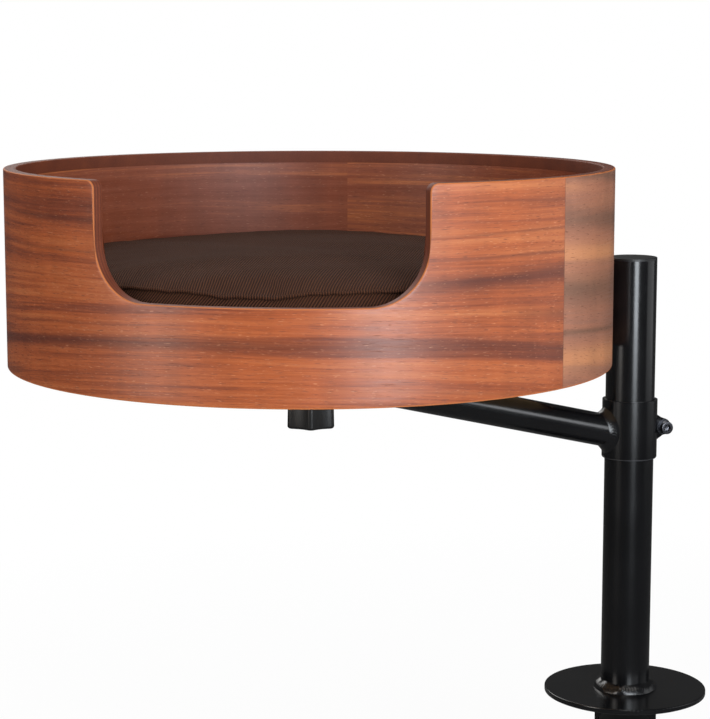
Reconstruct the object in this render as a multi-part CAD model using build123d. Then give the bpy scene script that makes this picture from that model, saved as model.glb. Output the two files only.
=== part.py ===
from build123d import *
import math
import os

# Desk cat bed: a round plywood bed on a steel arm that slides and turns on a clamped pole.
# The origin is on the pole's axis, in the face of the desk that the base rests on. +Z is up,
# and the bed's entrance faces -Y. All lengths are in millimetres and all angles in degrees.

# Fits
run_fit = 0.05        # radial clearance of a part that slides or turns on another
thread_gap = 0.25     # radial clearance that stands for a screw thread
loose_gap = 0.3       # gap beside a part that only lies near another
cut_over = 2.0        # how far a cutting body runs past what it cuts

# Base plate and its rubber pad
plate_diameter = 127.0
plate_thickness = 4.0
plate_edge_round = 0.8
pad_thickness = 1.0
pad_edge_margin = 3.0      # the pad stops this far inside the plate's rim

# Pole
pole_diameter = 38.1
pole_wall = 2.0
pole_height = 342.5        # from the plate's upper face to the top of the cap
cap_lip = 2.0
cap_plug_depth = 14.0
cap_plug_wall = 1.6
cap_edge_round = 0.7
pole_weld_leg = 7.0
bead_swell_share = 0.58    # how far a weld bead's face bulges, as a share of its leg

# Desk clamp
bracket_width = 50.0
bracket_thickness = 6.0
bracket_face_y = 50.0      # the side that the desk's edge lies against
bracket_bend_radius = 4.0
bracket_corner_radius = 8.0
bracket_reach = 56.0       # length of the lower leg, from the desk-edge side towards the front
clamp_throat = 78.0        # from the desk's upper face to the lower leg
clamp_screw_y = 10.0
bracket_weld_leg = 4.0
bracket_weld_length = 36.0
desk_thickness = 25.0      # the desk that the clamp is set to
clamp_screw_diameter = 10.0
clamp_nut_flats = 17.0
clamp_nut_height = 8.0
clamp_screw_tail = 16.0    # free thread between the lower leg and the hand wheel
clamp_foot_diameter = 42.0
clamp_foot_thickness = 4.0
clamp_foot_hub_diameter = 18.0
clamp_foot_hub_height = 8.0
clamp_foot_pad_thickness = 1.5
clamp_foot_pad_margin = 1.0
clamp_tip_diameter = 7.0
clamp_tip_length = 7.0
clamp_tip_chamfer = 0.8
clamp_screw_in_wheel = 14.0
clamp_wheel_diameter = 48.0
clamp_wheel_height = 20.0
clamp_wheel_scoops = 7
clamp_wheel_scoop_radius = 9.0
clamp_wheel_scoop_depth = 3.0
clamp_wheel_edge = 1.5

# Collar, its liner and the lock screw
collar_wall = 1.5
collar_height = 45.0
collar_base_z = 191.5
liner_wall = 0.75
liner_slit = 2.0
liner_lip_width = 1.1      # how far the liner's lower lip stands out beyond its sleeve
liner_lip_height = 0.8
lug_azimuth = 28.0         # direction of the collar's two lugs from the pole's axis
lug_gap = 3.0              # width of the slit between the lugs
lug_thickness = 3.5
lug_foot_height = 22.0
lug_tip_radius = 6.5
lug_edge_round = 0.6
lock_offset = 27.0         # distance of the lock screw from the pole's axis
lock_z = 213.5
lock_nut_flats = 10.0
lock_nut_height = 5.0
lock_screw_diameter = 6.0
lock_screw_tail = 2.0      # how far the screw stands out behind its nut
lock_head_diameter = 10.0
lock_head_height = 6.0
lock_socket_flats = 5.0
lock_socket_depth = 3.2
lock_head_edge = 0.6
lock_washer_diameter = 12.0
lock_washer_thickness = 1.2
lock_weld_leg = 1.3

# Arm
arm_diameter = 25.4
arm_wall = 2.0
arm_azimuth = 205.0
arm_slope = 12.9
arm_axis_z = 207.7         # where the sloping axis meets the pole's axis
arm_bend_radius = 60.0
arm_level_run = 30.5       # from the corner of the bend to the bed's axis
arm_tail = 15.0            # how far the arm runs past the bed's axis
arm_weld_leg = 5.0
arm_cap_lip = 2.0
arm_cap_plug = 6.0
arm_cap_edge = 0.8

# Plate, spacer and pad under the bed
bed_plate_diameter = 127.0
bed_plate_thickness = 4.0
bed_plate_edge_round = 0.8
plate_weld_length = 34.0
plate_weld_leg = 3.0
plate_weld_angle = 35.0    # how far round the arm each bead's lower edge lies
plate_weld_root = 2.0      # each bead starts this far from the arm's middle
plate_weld_end_gap = 2.0
bolt_sleeve_wall = 2.75
bolt_sleeve_proud = 0.3    # how far the spacer stands out under the arm
swivel_pad_thickness = 1.5
swivel_pad_margin = 4.0    # the pad stops this far inside the plate's rim

# Bed
bed_diameter = 445.0
bed_wall = 9.0
bed_height = 143.9
bed_pole_gap = 16.45       # between the bed's side and the pole
entrance_angle = 60.0
entrance_sill = 65.0       # height of the entrance's lower edge above the bed's underside
entrance_low_radius = 40.0
entrance_high_radius = 6.0
entrance_near_share = 0.5  # the entrance's cutting wedge runs from this share of the bed's radius
entrance_far_share = 1.2   # to this one
floor_thickness = 12.0
tee_nut_flange_diameter = 26.0
tee_nut_flange_thickness = 1.5
tee_nut_barrel_wall = 1.5

# Bed knob and its stud
stud_diameter = 8.0
stud_tip_clearance = 1.0   # the stud ends this far below the floor's upper face
stud_chamfer = 1.0
knob_diameter = 39.0
knob_height = 17.9
knob_lobes = 6
knob_lobe_azimuth = 39.7
knob_scoop_radius = 28.0
knob_scoop_depth = 3.2
knob_edge = 2.2
knob_rim = 0.8
knob_hub_diameter = 20.0
knob_hub_relief = 1.0
stud_in_knob = 11.0
knob_washer_diameter = 24.0
knob_washer_thickness = 1.5

# Cushion
cushion_gap = 6.0              # between the widest place of the side band and the bed's wall
cushion_draw_in = 4.5          # how far the seams lie inside that width
cushion_band_height = 59.0
cushion_shoulder = 9.0         # width of the rounded shoulder inside the top seam
cushion_shoulder_rise = 4.0
shoulder_share = 0.35
cushion_crown = 12.0
cover_cloth = 2.0
zip_low = 8.0                  # height of the zip's lower edge above the cushion's underside
zip_width = 22.0
zip_seat = 0.1                 # gap that stands for the cloth's nap under the tape
zip_tape_thickness = 0.8
zip_teeth_width = 6.0
zip_teeth_thickness = 0.9
zip_start = 40.0               # azimuths of the tape's ends
zip_end = 140.0
zip_stop_angle = 0.6
zip_end_angle = 2.0            # the teeth stop this far short of the tape's ends
slider_rest_angle = 0.2
slider_length = 11.0
slider_height = 9.0
slider_thickness = 1.5
slider_gap = 0.15
pull_length = 15.0
pull_width = 6.0
pull_thickness = 0.8
pull_hole_diameter = 3.0
pull_edge = 1.5

# Places that follow from the sizes above
pole_radius = pole_diameter / 2
plate_top = pad_thickness + plate_thickness
pole_top = plate_top + pole_height
tube_top = pole_top - cap_lip
arm_radius = arm_diameter / 2
liner_inner = pole_radius + run_fit
liner_outer = liner_inner + liner_wall
collar_inner = liner_outer + run_fit
collar_outer = collar_inner + collar_wall
collar_top_z = collar_base_z + collar_height
bed_radius = bed_diameter / 2
bed_inner = bed_radius - bed_wall
arm_reach = pole_radius + bed_pole_gap + bed_radius     # from the pole's axis to the bed's axis
bend_x = arm_reach - arm_level_run
arm_lift = bend_x * math.tan(math.radians(arm_slope))   # rise of the arm's axis to its level run
level_axis_z = arm_axis_z + arm_lift
arm_end_x = arm_reach + arm_tail
bed_plate_base_z = level_axis_z + arm_radius
bed_plate_top_z = bed_plate_base_z + bed_plate_thickness
bed_base_z = bed_plate_top_z + swivel_pad_thickness
floor_top_z = bed_base_z + floor_thickness
stud_radius = stud_diameter / 2
stud_bore = stud_radius + thread_gap
sleeve_outer = stud_bore + bolt_sleeve_wall
sleeve_base_z = level_axis_z - arm_radius - bolt_sleeve_proud
knob_top_z = sleeve_base_z - knob_washer_thickness
tee_nut_barrel = stud_bore + tee_nut_barrel_wall
lug_face = lug_gap / 2 + lug_thickness
lock_nut_face = lug_face + lock_nut_height
lock_head_face = lug_face + lock_washer_thickness
lock_bore = lock_screw_diameter / 2 + thread_gap
lower_leg_top_z = -clamp_throat
lower_leg_base_z = lower_leg_top_z - bracket_thickness
foot_top_z = -desk_thickness
foot_plate_top_z = foot_top_z - clamp_foot_pad_thickness
foot_plate_base_z = foot_plate_top_z - clamp_foot_thickness
foot_hub_base_z = foot_plate_base_z - clamp_foot_hub_height
clamp_shank_top_z = foot_hub_base_z - loose_gap
clamp_tip_radius = clamp_tip_diameter / 2
clamp_screw_radius = clamp_screw_diameter / 2
clamp_wheel_top_z = lower_leg_base_z - clamp_screw_tail
cushion_radius = bed_inner - cushion_gap
cushion_base_z = floor_top_z + loose_gap


def column(radius, low, high):
    """Upright solid cylinder between two heights."""
    upright = (Align.CENTER, Align.CENTER, Align.MIN)
    return Pos(0, 0, low) * Cylinder(radius, high - low, align=upright)


def ring(outer, inner, low, high):
    """Upright tube between two heights."""
    return column(outer, low, high) - column(inner, low - cut_over, high + cut_over)


def hexagon(flats, low, high):
    """Upright hexagonal prism of the given width across its flats."""
    outline = RegularPolygon(flats / 2, 6, major_radius=False)
    return Pos(0, 0, low) * extrude(outline, high - low)


def spin(outline, angle=360):
    """Solid that an outline, drawn as radius and height, sweeps about the Z axis."""
    return revolve(Plane.XZ * outline, Axis.Z, angle)


def bead_outline(wall, foot, leg):
    """Slightly bulging fillet of weld in the corner between an upright wall and a flat foot."""
    swell = leg * bead_swell_share
    face_line = ThreePointArc((wall + leg, foot), (wall + swell, foot + swell), (wall, foot + leg))
    corner = Polyline((wall, foot + leg), (wall, foot), (wall + leg, foot))
    return make_face(face_line + corner)


def scooped(radius, count, scoop, depth, low, high):
    """Upright grip with evenly spaced hollows round its side."""
    grip = column(radius, low, high)
    hollow = Pos(radius + scoop - depth, 0, 0) * column(scoop, low - cut_over, high + cut_over)
    for turn in range(count):
        grip -= Rot(0, 0, (turn + 0.5) * 360 / count) * hollow
    return grip


def rim_edges(solid, height):
    """Edges of a solid that lie flat at one height."""
    return solid.edges().filter_by_position(Axis.Z, height, height)


def at_arm(shape):
    """Place a shape drawn with the arm along +X."""
    return Rot(0, 0, arm_azimuth) * shape


def at_bolt(shape):
    """Place a shape drawn about the bed's axis."""
    return at_arm(Pos(arm_reach, 0, 0) * shape)


def at_bed(shape):
    """Place a shape drawn about the bed's axis with the entrance towards -Y."""
    return at_bolt(Rot(0, 0, -arm_azimuth) * shape)


def at_lugs(shape):
    """Place a shape drawn with the collar's lugs along +X."""
    return Rot(0, 0, lug_azimuth) * shape


def at_lock(shape):
    """Place a shape drawn about +Z along the lock screw: its origin lies in the middle of the slit,
    and the screw's head is at its upper end."""
    return at_lugs(Pos(lock_offset, 0, lock_z) * Rot(90, 0, 0) * shape)


def at_clamp(shape):
    """Place a shape drawn about the clamp screw's axis."""
    return Pos(0, clamp_screw_y, 0) * shape


def base_plate():
    plate = column(plate_diameter / 2, pad_thickness, plate_top)
    return fillet(rim_edges(plate, pad_thickness) + rim_edges(plate, plate_top), plate_edge_round)


def desk_pad():
    radius = plate_diameter / 2 - pad_edge_margin
    side = 2 * plate_diameter
    desk_side = Pos(0, bracket_face_y - pad_edge_margin - side / 2, 0) * Box(side, side, side)
    return column(radius, 0, pad_thickness) & desk_side


def pole_tube():
    return ring(pole_radius, pole_radius - pole_wall, plate_top, tube_top)


def pole_weld():
    return spin(bead_outline(pole_radius, plate_top, pole_weld_leg))


def pole_cap():
    plug_radius = pole_radius - pole_wall
    lip = column(pole_radius, tube_top, pole_top)
    lip = fillet(rim_edges(lip, pole_top), cap_edge_round)
    return lip + ring(plug_radius, plug_radius - cap_plug_wall, tube_top - cap_plug_depth, tube_top)


def clamp_bracket():
    back_y = bracket_face_y + bracket_thickness
    front_y = bracket_face_y - bracket_reach
    outline = Polyline(
        (bracket_face_y, pad_thickness),
        (back_y, pad_thickness),
        (back_y, lower_leg_base_z),
        (front_y, lower_leg_base_z),
        (front_y, lower_leg_top_z),
        (bracket_face_y, lower_leg_top_z),
        (bracket_face_y, pad_thickness),
    )
    bar = extrude(Plane.YZ * make_face(outline), bracket_width / 2, both=True)
    along_x = bar.edges().filter_by(Axis.X)
    inner = along_x.filter_by_position(Axis.Y, bracket_face_y, bracket_face_y)
    inner = inner.filter_by_position(Axis.Z, lower_leg_top_z, lower_leg_top_z)
    bar = fillet(inner, bracket_bend_radius)
    along_x = bar.edges().filter_by(Axis.X)
    outer = along_x.filter_by_position(Axis.Y, back_y, back_y)
    outer = outer.filter_by_position(Axis.Z, lower_leg_base_z, lower_leg_base_z)
    bar = fillet(outer, bracket_bend_radius + bracket_thickness)
    front = bar.edges().filter_by(Axis.Z).filter_by_position(Axis.Y, front_y, front_y)
    bar = fillet(front, bracket_corner_radius)
    bore = clamp_screw_radius + thread_gap
    hole = column(bore, lower_leg_base_z - cut_over, lower_leg_top_z + cut_over)
    return bar - at_clamp(hole)


def bracket_weld():
    back_y = bracket_face_y + bracket_thickness
    outline = Polyline(
        (back_y, pad_thickness),
        (back_y + bracket_weld_leg, pad_thickness),
        (back_y, pad_thickness - bracket_weld_leg),
        (back_y, pad_thickness),
    )
    return extrude(Plane.YZ * make_face(outline), bracket_weld_length / 2, both=True)


def clamp_nut():
    nut = hexagon(clamp_nut_flats, lower_leg_top_z, lower_leg_top_z + clamp_nut_height)
    bore = clamp_screw_radius + thread_gap
    hole = column(bore, lower_leg_top_z - cut_over, lower_leg_top_z + clamp_nut_height + cut_over)
    return at_clamp(nut - hole)


def clamp_foot():
    plate = column(clamp_foot_diameter / 2, foot_plate_base_z, foot_plate_top_z)
    hub = column(clamp_foot_hub_diameter / 2, foot_hub_base_z, foot_plate_base_z)
    socket_top = clamp_shank_top_z + clamp_tip_length + loose_gap
    socket = column(clamp_tip_radius + thread_gap, foot_hub_base_z - cut_over, socket_top)
    return at_clamp(plate + hub - socket)


def clamp_foot_pad():
    radius = clamp_foot_diameter / 2 - clamp_foot_pad_margin
    return at_clamp(column(radius, foot_plate_top_z, foot_top_z))


def clamp_screw():
    tip = column(clamp_tip_radius, clamp_shank_top_z, clamp_shank_top_z + clamp_tip_length)
    tip = chamfer(rim_edges(tip, clamp_shank_top_z + clamp_tip_length), clamp_tip_chamfer)
    shank = column(clamp_screw_radius, clamp_wheel_top_z - clamp_screw_in_wheel, clamp_shank_top_z)
    return at_clamp(shank + tip)


def clamp_wheel():
    base = clamp_wheel_top_z - clamp_wheel_height
    wheel = scooped(
        clamp_wheel_diameter / 2,
        clamp_wheel_scoops,
        clamp_wheel_scoop_radius,
        clamp_wheel_scoop_depth,
        base,
        clamp_wheel_top_z,
    )
    wheel = chamfer(rim_edges(wheel, base) + rim_edges(wheel, clamp_wheel_top_z), clamp_wheel_edge)
    seat = clamp_wheel_top_z - clamp_screw_in_wheel
    return at_clamp(wheel - column(clamp_screw_radius, seat, clamp_wheel_top_z + cut_over))


def collar_liner():
    """Sleeve with a lip under the collar, slit along the side away from the lock screw."""
    lip_base_z = collar_base_z - liner_lip_height
    sleeve = ring(liner_outer, liner_inner, collar_base_z, collar_top_z)
    sleeve += ring(liner_outer + liner_lip_width, liner_inner, lip_base_z, collar_base_z)
    slit = Box(liner_outer, liner_slit, 2 * (collar_height + liner_lip_height))
    slit = Pos(-liner_outer, 0, (lip_base_z + collar_top_z) / 2) * slit
    return sleeve - at_lugs(slit)


def lug_block():
    """Both lugs and the room between them: a tapered plate with a round end."""
    half = lug_foot_height / 2
    taper = Polyline(
        (collar_inner, -half),
        (lock_offset, -lug_tip_radius),
        (lock_offset, lug_tip_radius),
        (collar_inner, half),
        (collar_inner, -half),
    )
    outline = make_face(taper) + Pos(lock_offset, 0) * Circle(lug_tip_radius)
    block = extrude(Plane.XZ * outline, lug_face, both=True)
    front = block.edges().filter_by_position(Axis.Y, -lug_face, -lug_face)
    back = block.edges().filter_by_position(Axis.Y, lug_face, lug_face)
    return Pos(0, 0, lock_z) * fillet(front + back, lug_edge_round)


def arm_collar():
    """Sleeve slit between two lugs, which the lock screw draws together."""
    collar = ring(collar_outer, collar_inner, collar_base_z, collar_top_z)
    collar += at_lugs(lug_block())
    reach = lock_offset + lug_tip_radius + cut_over
    slit = Box(reach, lug_gap, collar_height + 2 * cut_over)
    collar -= at_lugs(Pos(reach / 2, 0, (collar_base_z + collar_top_z) / 2) * slit)
    return collar - at_lock(column(lock_bore, -lug_face - cut_over, lug_face + cut_over))


def arm_rod(radius, from_x):
    """Solid rod along the arm: a sloping run, a bend and a level run."""
    slope_point = (from_x, 0, arm_axis_z + from_x * arm_lift / bend_x)
    route = FilletPolyline(
        slope_point,
        (bend_x, 0, level_axis_z),
        (arm_end_x, 0, level_axis_z),
        radius=arm_bend_radius,
    )
    section = Plane(origin=route @ 0, z_dir=route % 0) * Circle(radius)
    return sweep(section, path=route)


def arm_tube():
    tube = arm_rod(arm_radius, 0) - arm_rod(arm_radius - arm_wall, 0)
    tube -= column(collar_outer, collar_base_z - cut_over, collar_top_z + cut_over)
    spacer = column(sleeve_outer, sleeve_base_z - cut_over, bed_plate_base_z + cut_over)
    return at_arm(tube - Pos(arm_reach, 0, 0) * spacer)


def arm_weld():
    sleeve = column(collar_outer, collar_base_z, collar_top_z)
    axis = Plane(origin=(0, 0, arm_axis_z), z_dir=(bend_x, 0, arm_lift))
    rod = axis * Cylinder(arm_radius, bend_x / 2, align=(Align.CENTER, Align.CENTER, Align.MIN))
    joined = sleeve + rod
    seam = joined.edges().filter_by(lambda edge: edge.geom_type not in (GeomType.LINE, GeomType.CIRCLE))
    return at_arm(chamfer(seam, arm_weld_leg) - sleeve - rod)


def arm_end_cap():
    lip = column(arm_radius, arm_end_x, arm_end_x + arm_cap_lip)
    lip = fillet(rim_edges(lip, arm_end_x + arm_cap_lip), arm_cap_edge)
    plug = column(arm_radius - arm_wall, arm_end_x - arm_cap_plug, arm_end_x)
    return at_arm(Pos(0, 0, level_axis_z) * Rot(0, 90, 0) * (lip + plug))


def lock_nut():
    """Nut welded to the outside of the rear lug."""
    nut = hexagon(lock_nut_flats, -lock_nut_face, -lug_face)
    return at_lock(nut - column(lock_bore, -lock_nut_face - cut_over, -lug_face + cut_over))


def lock_weld():
    """Bead round the lock nut's foot."""
    top = lock_nut_flats / 2
    foot = top + lock_weld_leg
    high = -lug_face - lock_weld_leg
    outline = Polyline((0, -lug_face), (foot, -lug_face), (top, high), (0, high), (0, -lug_face))
    bead = spin(make_face(outline)) - hexagon(lock_nut_flats, -lock_nut_face, -lug_face + cut_over)
    return at_lock(bead) - column(collar_outer, collar_base_z, collar_top_z)


def lock_washer():
    return at_lock(ring(lock_washer_diameter / 2, lock_bore, lug_face, lock_head_face))


def lock_screw():
    top = lock_head_face + lock_head_height
    head = column(lock_head_diameter / 2, lock_head_face, top)
    head = fillet(rim_edges(head, top), lock_head_edge)
    head -= hexagon(lock_socket_flats, top - lock_socket_depth, top + cut_over)
    end = -lock_nut_face - lock_screw_tail
    return at_lock(head + column(lock_screw_diameter / 2, end, lock_head_face))


def bed_plate():
    plate = column(bed_plate_diameter / 2, bed_plate_base_z, bed_plate_top_z)
    rims = rim_edges(plate, bed_plate_base_z) + rim_edges(plate, bed_plate_top_z)
    plate = fillet(rims, bed_plate_edge_round)
    return at_bolt(plate - column(stud_bore, bed_plate_base_z - cut_over, bed_plate_top_z + cut_over))


def plate_weld():
    """Two beads in the corners between the arm's level run and the plate above it."""
    angle = math.radians(plate_weld_angle)
    low_y = arm_radius * math.cos(angle)
    low_z = level_axis_z + arm_radius * math.sin(angle)
    outline = Polyline(
        (plate_weld_root, bed_plate_base_z),
        (low_y + plate_weld_leg, bed_plate_base_z),
        (low_y, low_z),
        (plate_weld_root, low_z),
        (plate_weld_root, bed_plate_base_z),
    )
    across = Plane(origin=(arm_end_x - plate_weld_end_gap, 0, 0), x_dir=(0, 1, 0), z_dir=(1, 0, 0))
    bead = extrude(across * make_face(outline), -plate_weld_length)
    bead -= arm_rod(arm_radius, bend_x - arm_bend_radius)
    bead -= Pos(arm_reach, 0, 0) * column(sleeve_outer, sleeve_base_z, bed_plate_top_z)
    return at_arm(bead + mirror(bead, Plane.XZ))


def bolt_sleeve():
    return at_bolt(ring(sleeve_outer, stud_bore, sleeve_base_z, bed_plate_base_z))


def swivel_pad():
    radius = bed_plate_diameter / 2 - swivel_pad_margin
    return at_bed(ring(radius, stud_bore, bed_plate_top_z, bed_base_z))


def entrance():
    """Wedge between two planes through the bed's axis, rounded at its two lower corners."""
    sill_z = bed_base_z + entrance_sill
    near = bed_radius * entrance_near_share
    far = bed_radius * entrance_far_share
    half = math.tan(math.radians(entrance_angle / 2))
    outline = Polyline(
        (near * half, -near),
        (far * half, -far),
        (-far * half, -far),
        (-near * half, -near),
        (near * half, -near),
    )
    wedge = Pos(0, 0, sill_z) * extrude(make_face(outline), bed_height)
    floor_edges = rim_edges(wedge, sill_z)
    sides = floor_edges.filter_by(Axis.X, reverse=True)
    return fillet(sides, entrance_low_radius)


def bed_shell():
    top_z = bed_base_z + bed_height
    shell = ring(bed_radius, bed_inner, bed_base_z, top_z) - entrance()
    upper = rim_edges(shell, top_z).filter_by(GeomType.LINE)
    shell = fillet(upper, entrance_high_radius)
    return at_bed(shell)


def bed_floor():
    floor = column(bed_inner, bed_base_z, floor_top_z)
    floor -= column(tee_nut_barrel, bed_base_z - cut_over, floor_top_z + cut_over)
    flange_z = floor_top_z - tee_nut_flange_thickness
    return at_bed(floor - column(tee_nut_flange_diameter / 2, flange_z, floor_top_z + cut_over))


def tee_nut():
    flange_z = floor_top_z - tee_nut_flange_thickness
    body = column(tee_nut_flange_diameter / 2, flange_z, floor_top_z)
    body += column(tee_nut_barrel, bed_base_z, flange_z)
    return at_bed(body - column(stud_bore, bed_base_z - cut_over, floor_top_z + cut_over))


def knob_washer():
    return at_bolt(ring(knob_washer_diameter / 2, stud_bore, knob_top_z, sleeve_base_z))


def bed_knob():
    base = knob_top_z - knob_height
    radius = knob_diameter / 2
    grip = scooped(radius, knob_lobes, knob_scoop_radius, knob_scoop_depth, base, knob_top_z)
    grip = Rot(0, 0, knob_lobe_azimuth - arm_azimuth) * grip
    grip = chamfer(rim_edges(grip, base), knob_edge)
    grip = chamfer(rim_edges(grip, knob_top_z), knob_rim)
    grip -= column(knob_hub_diameter / 2, base - cut_over, base + knob_hub_relief)
    return at_bolt(grip - column(stud_radius, knob_top_z - stud_in_knob, knob_top_z + cut_over))


def knob_stud():
    tip_z = floor_top_z - stud_tip_clearance
    stud = column(stud_radius, knob_top_z - stud_in_knob, tip_z)
    return at_bolt(chamfer(rim_edges(stud, tip_z), stud_chamfer))


def cushion_outline(inset):
    """Half of the cushion's section: a bulging side band, a rounded shoulder and a low crown."""
    seam_r = cushion_radius - cushion_draw_in - inset
    low = cushion_base_z + inset
    high = cushion_base_z + cushion_band_height
    shoulder_r = seam_r - cushion_shoulder
    shoulder_z = high + cushion_shoulder_rise - inset
    top_z = high + cushion_crown - inset
    band = ThreePointArc((seam_r, low), (cushion_radius - inset, (low + high) / 2), (seam_r, high))
    turn_r = seam_r - cushion_shoulder * shoulder_share
    turn_z = high + (shoulder_z - high) * (1 - shoulder_share)
    shoulder = ThreePointArc((seam_r, high), (turn_r, turn_z), (shoulder_r, shoulder_z))
    crown = TangentArc((0, top_z), (shoulder_r, shoulder_z), tangent=(1, 0))
    rest = Polyline((0, top_z), (0, low), (seam_r, low))
    return make_face(band + shoulder + crown + rest)


def cushion_cover():
    return at_bed(spin(cushion_outline(0)) - spin(cushion_outline(cover_cloth)))


def cushion_foam():
    return at_bed(spin(cushion_outline(cover_cloth)))


def band_strip(out_low, out_high, z_low, z_high, start, end):
    """Strip that follows the side band's bulge, between two distances out from the zip's seat."""
    half = cushion_band_height / 2
    curve = (half**2 + cushion_draw_in**2) / (2 * cushion_draw_in)
    centre = Pos(cushion_radius - curve, cushion_base_z + half)
    sector = centre * (Circle(curve + zip_seat + out_high) - Circle(curve + zip_seat + out_low))
    window = Pos(cushion_radius, cushion_base_z + (z_low + z_high) / 2) * Rectangle(
        cushion_radius, z_high - z_low
    )
    return Rot(0, 0, start) * spin(sector & window, end - start)


def zip_middle():
    return zip_low + zip_width / 2


def band_part(out_low, out_high, width, start, end):
    """Strip of the given width along the middle of the zip."""
    return band_strip(out_low, out_high, zip_middle() - width / 2, zip_middle() + width / 2, start, end)


def zip_tape():
    teeth_out = zip_tape_thickness + zip_teeth_thickness
    tape = band_part(0, zip_tape_thickness, zip_width, zip_start, zip_end)
    first = zip_start + zip_end_angle
    last = zip_end - zip_end_angle
    return at_bed(tape + band_part(zip_tape_thickness, teeth_out, zip_teeth_width, first, last))


def zip_stops():
    """Two small metal stops, one past each end of the teeth."""
    out = zip_tape_thickness + zip_teeth_thickness + slider_gap
    stops = []
    for edge in (zip_start + zip_end_angle - zip_stop_angle, zip_end - zip_end_angle):
        stops.append(band_part(zip_tape_thickness, out, slider_height, edge, edge + zip_stop_angle))
    return at_bed(stops[0] + stops[1])


def slider_angle():
    """Angle about the bed's axis that the slider's length covers."""
    return math.degrees(slider_length / cushion_radius)


def slider_start():
    return zip_start + zip_end_angle + slider_rest_angle


def zip_slider():
    inner = zip_tape_thickness + zip_teeth_thickness + slider_gap
    start = slider_start()
    body = band_part(inner, inner + slider_thickness, slider_height, start, start + slider_angle())
    return at_bed(body)


def zip_pull():
    """Flat tab that hangs from the slider, with a hole at its upper end."""
    plate = RectangleRounded(pull_width, pull_length, pull_edge)
    plate -= Pos(0, pull_length / 2 - pull_width / 2) * Circle(pull_hole_diameter / 2)
    slider_out = zip_tape_thickness + zip_teeth_thickness + slider_gap + slider_thickness
    reach = cushion_radius + zip_seat + slider_out
    top_z = cushion_base_z + zip_middle()
    facing = Plane(origin=(reach, 0, top_z - pull_length / 2), x_dir=(0, 1, 0), z_dir=(1, 0, 0))
    tab = extrude(facing * plate, pull_thickness)
    return at_bed(Rot(0, 0, slider_start() + slider_angle() / 2) * tab)


pieces = [
    base_plate, desk_pad, pole_tube, pole_weld, pole_cap,
    clamp_bracket, bracket_weld, clamp_nut,
    clamp_foot, clamp_foot_pad, clamp_screw, clamp_wheel,
    collar_liner, arm_collar, arm_tube, arm_weld, arm_end_cap,
    lock_nut, lock_weld, lock_washer, lock_screw,
    bed_plate, plate_weld, bolt_sleeve,
    swivel_pad, bed_shell, bed_floor, tee_nut,
    knob_washer, bed_knob, knob_stud,
    cushion_cover, cushion_foam,
    zip_tape, zip_stops, zip_slider, zip_pull,
]

os.makedirs("parts", exist_ok=True)
for piece in pieces:
    export_step(piece(), f"parts/{piece.__name__}.step")
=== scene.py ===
"""Looks of a desk cat bed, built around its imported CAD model: a veneered plywood bed with a cushion,
carried by a gloss black steel arm on a clamped pole. Lengths are in metres in the CAD's own frame:
the origin is on the pole's axis at the desk, +Z is up, and the entrance of the bed faces -Y."""

import math

import bpy
import numpy as np
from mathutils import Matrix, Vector


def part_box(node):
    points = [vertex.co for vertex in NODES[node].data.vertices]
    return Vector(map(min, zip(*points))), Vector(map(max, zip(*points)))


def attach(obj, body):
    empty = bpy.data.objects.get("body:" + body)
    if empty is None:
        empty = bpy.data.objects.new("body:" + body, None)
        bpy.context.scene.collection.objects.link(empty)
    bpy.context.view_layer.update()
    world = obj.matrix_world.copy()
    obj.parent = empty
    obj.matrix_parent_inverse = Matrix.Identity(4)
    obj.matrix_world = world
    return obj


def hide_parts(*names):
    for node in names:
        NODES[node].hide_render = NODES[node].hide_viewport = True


bl_info = {
    "name": "Desk cat bed",
    "version": (1, 0, 0),
    "blender": (4, 5, 0),
    "location": "View3D > Sidebar > Cat bed",
    "description": "Builds the pieces, finishes and stage of a desk cat bed around its CAD model",
    "category": "Add Mesh",
}

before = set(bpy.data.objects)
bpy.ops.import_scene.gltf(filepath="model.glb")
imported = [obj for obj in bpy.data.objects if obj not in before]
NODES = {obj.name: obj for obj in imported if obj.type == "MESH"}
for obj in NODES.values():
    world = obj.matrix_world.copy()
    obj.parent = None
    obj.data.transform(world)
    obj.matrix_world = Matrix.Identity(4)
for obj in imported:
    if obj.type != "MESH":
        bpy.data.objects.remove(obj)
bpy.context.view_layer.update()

MM = 0.001
TURN = 2 * math.pi
SINK = 0.05 * MM  # how far a bead's or nut's edge reaches into the part that it joins


def span(node, axis):
    """Lowest and highest coordinate of a CAD node along one axis."""
    low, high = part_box(node)
    return low[axis], high[axis]


def middle(node):
    """Centre of a CAD node's box, as an array."""
    low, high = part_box(node)
    return np.array((low + high) / 2)


# Places that the CAD model gives
SHELL_LOW, SHELL_HIGH = span("bed_shell", 2)
SHELL_RADIUS = np.ptp(span("bed_shell", 0)) / 2
FLOOR_RADIUS = np.ptp(span("bed_floor", 0)) / 2
BED = middle("bed_floor")
CUSHION_LOW, CUSHION_HIGH = span("cushion_cover", 2)
CUSHION_RADIUS = np.ptp(span("cushion_cover", 0)) / 2
CUSHION_FOOT = np.array([BED[0], BED[1], CUSHION_LOW])
POLE_RADIUS = span("pole_tube", 0)[1]
PLATE_TOP = span("base_plate", 2)[1]
COLLAR_RADIUS = span("arm_collar", 1)[1]
KNOB_LOW, KNOB_HIGH = span("bed_knob", 2)
BOLT_FOOT = middle("bed_knob") * (1, 1, 0)
CLAMP_FOOT = middle("clamp_wheel") * (1, 1, 0)
ENTRANCE_AZIMUTH = -math.pi / 2

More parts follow.
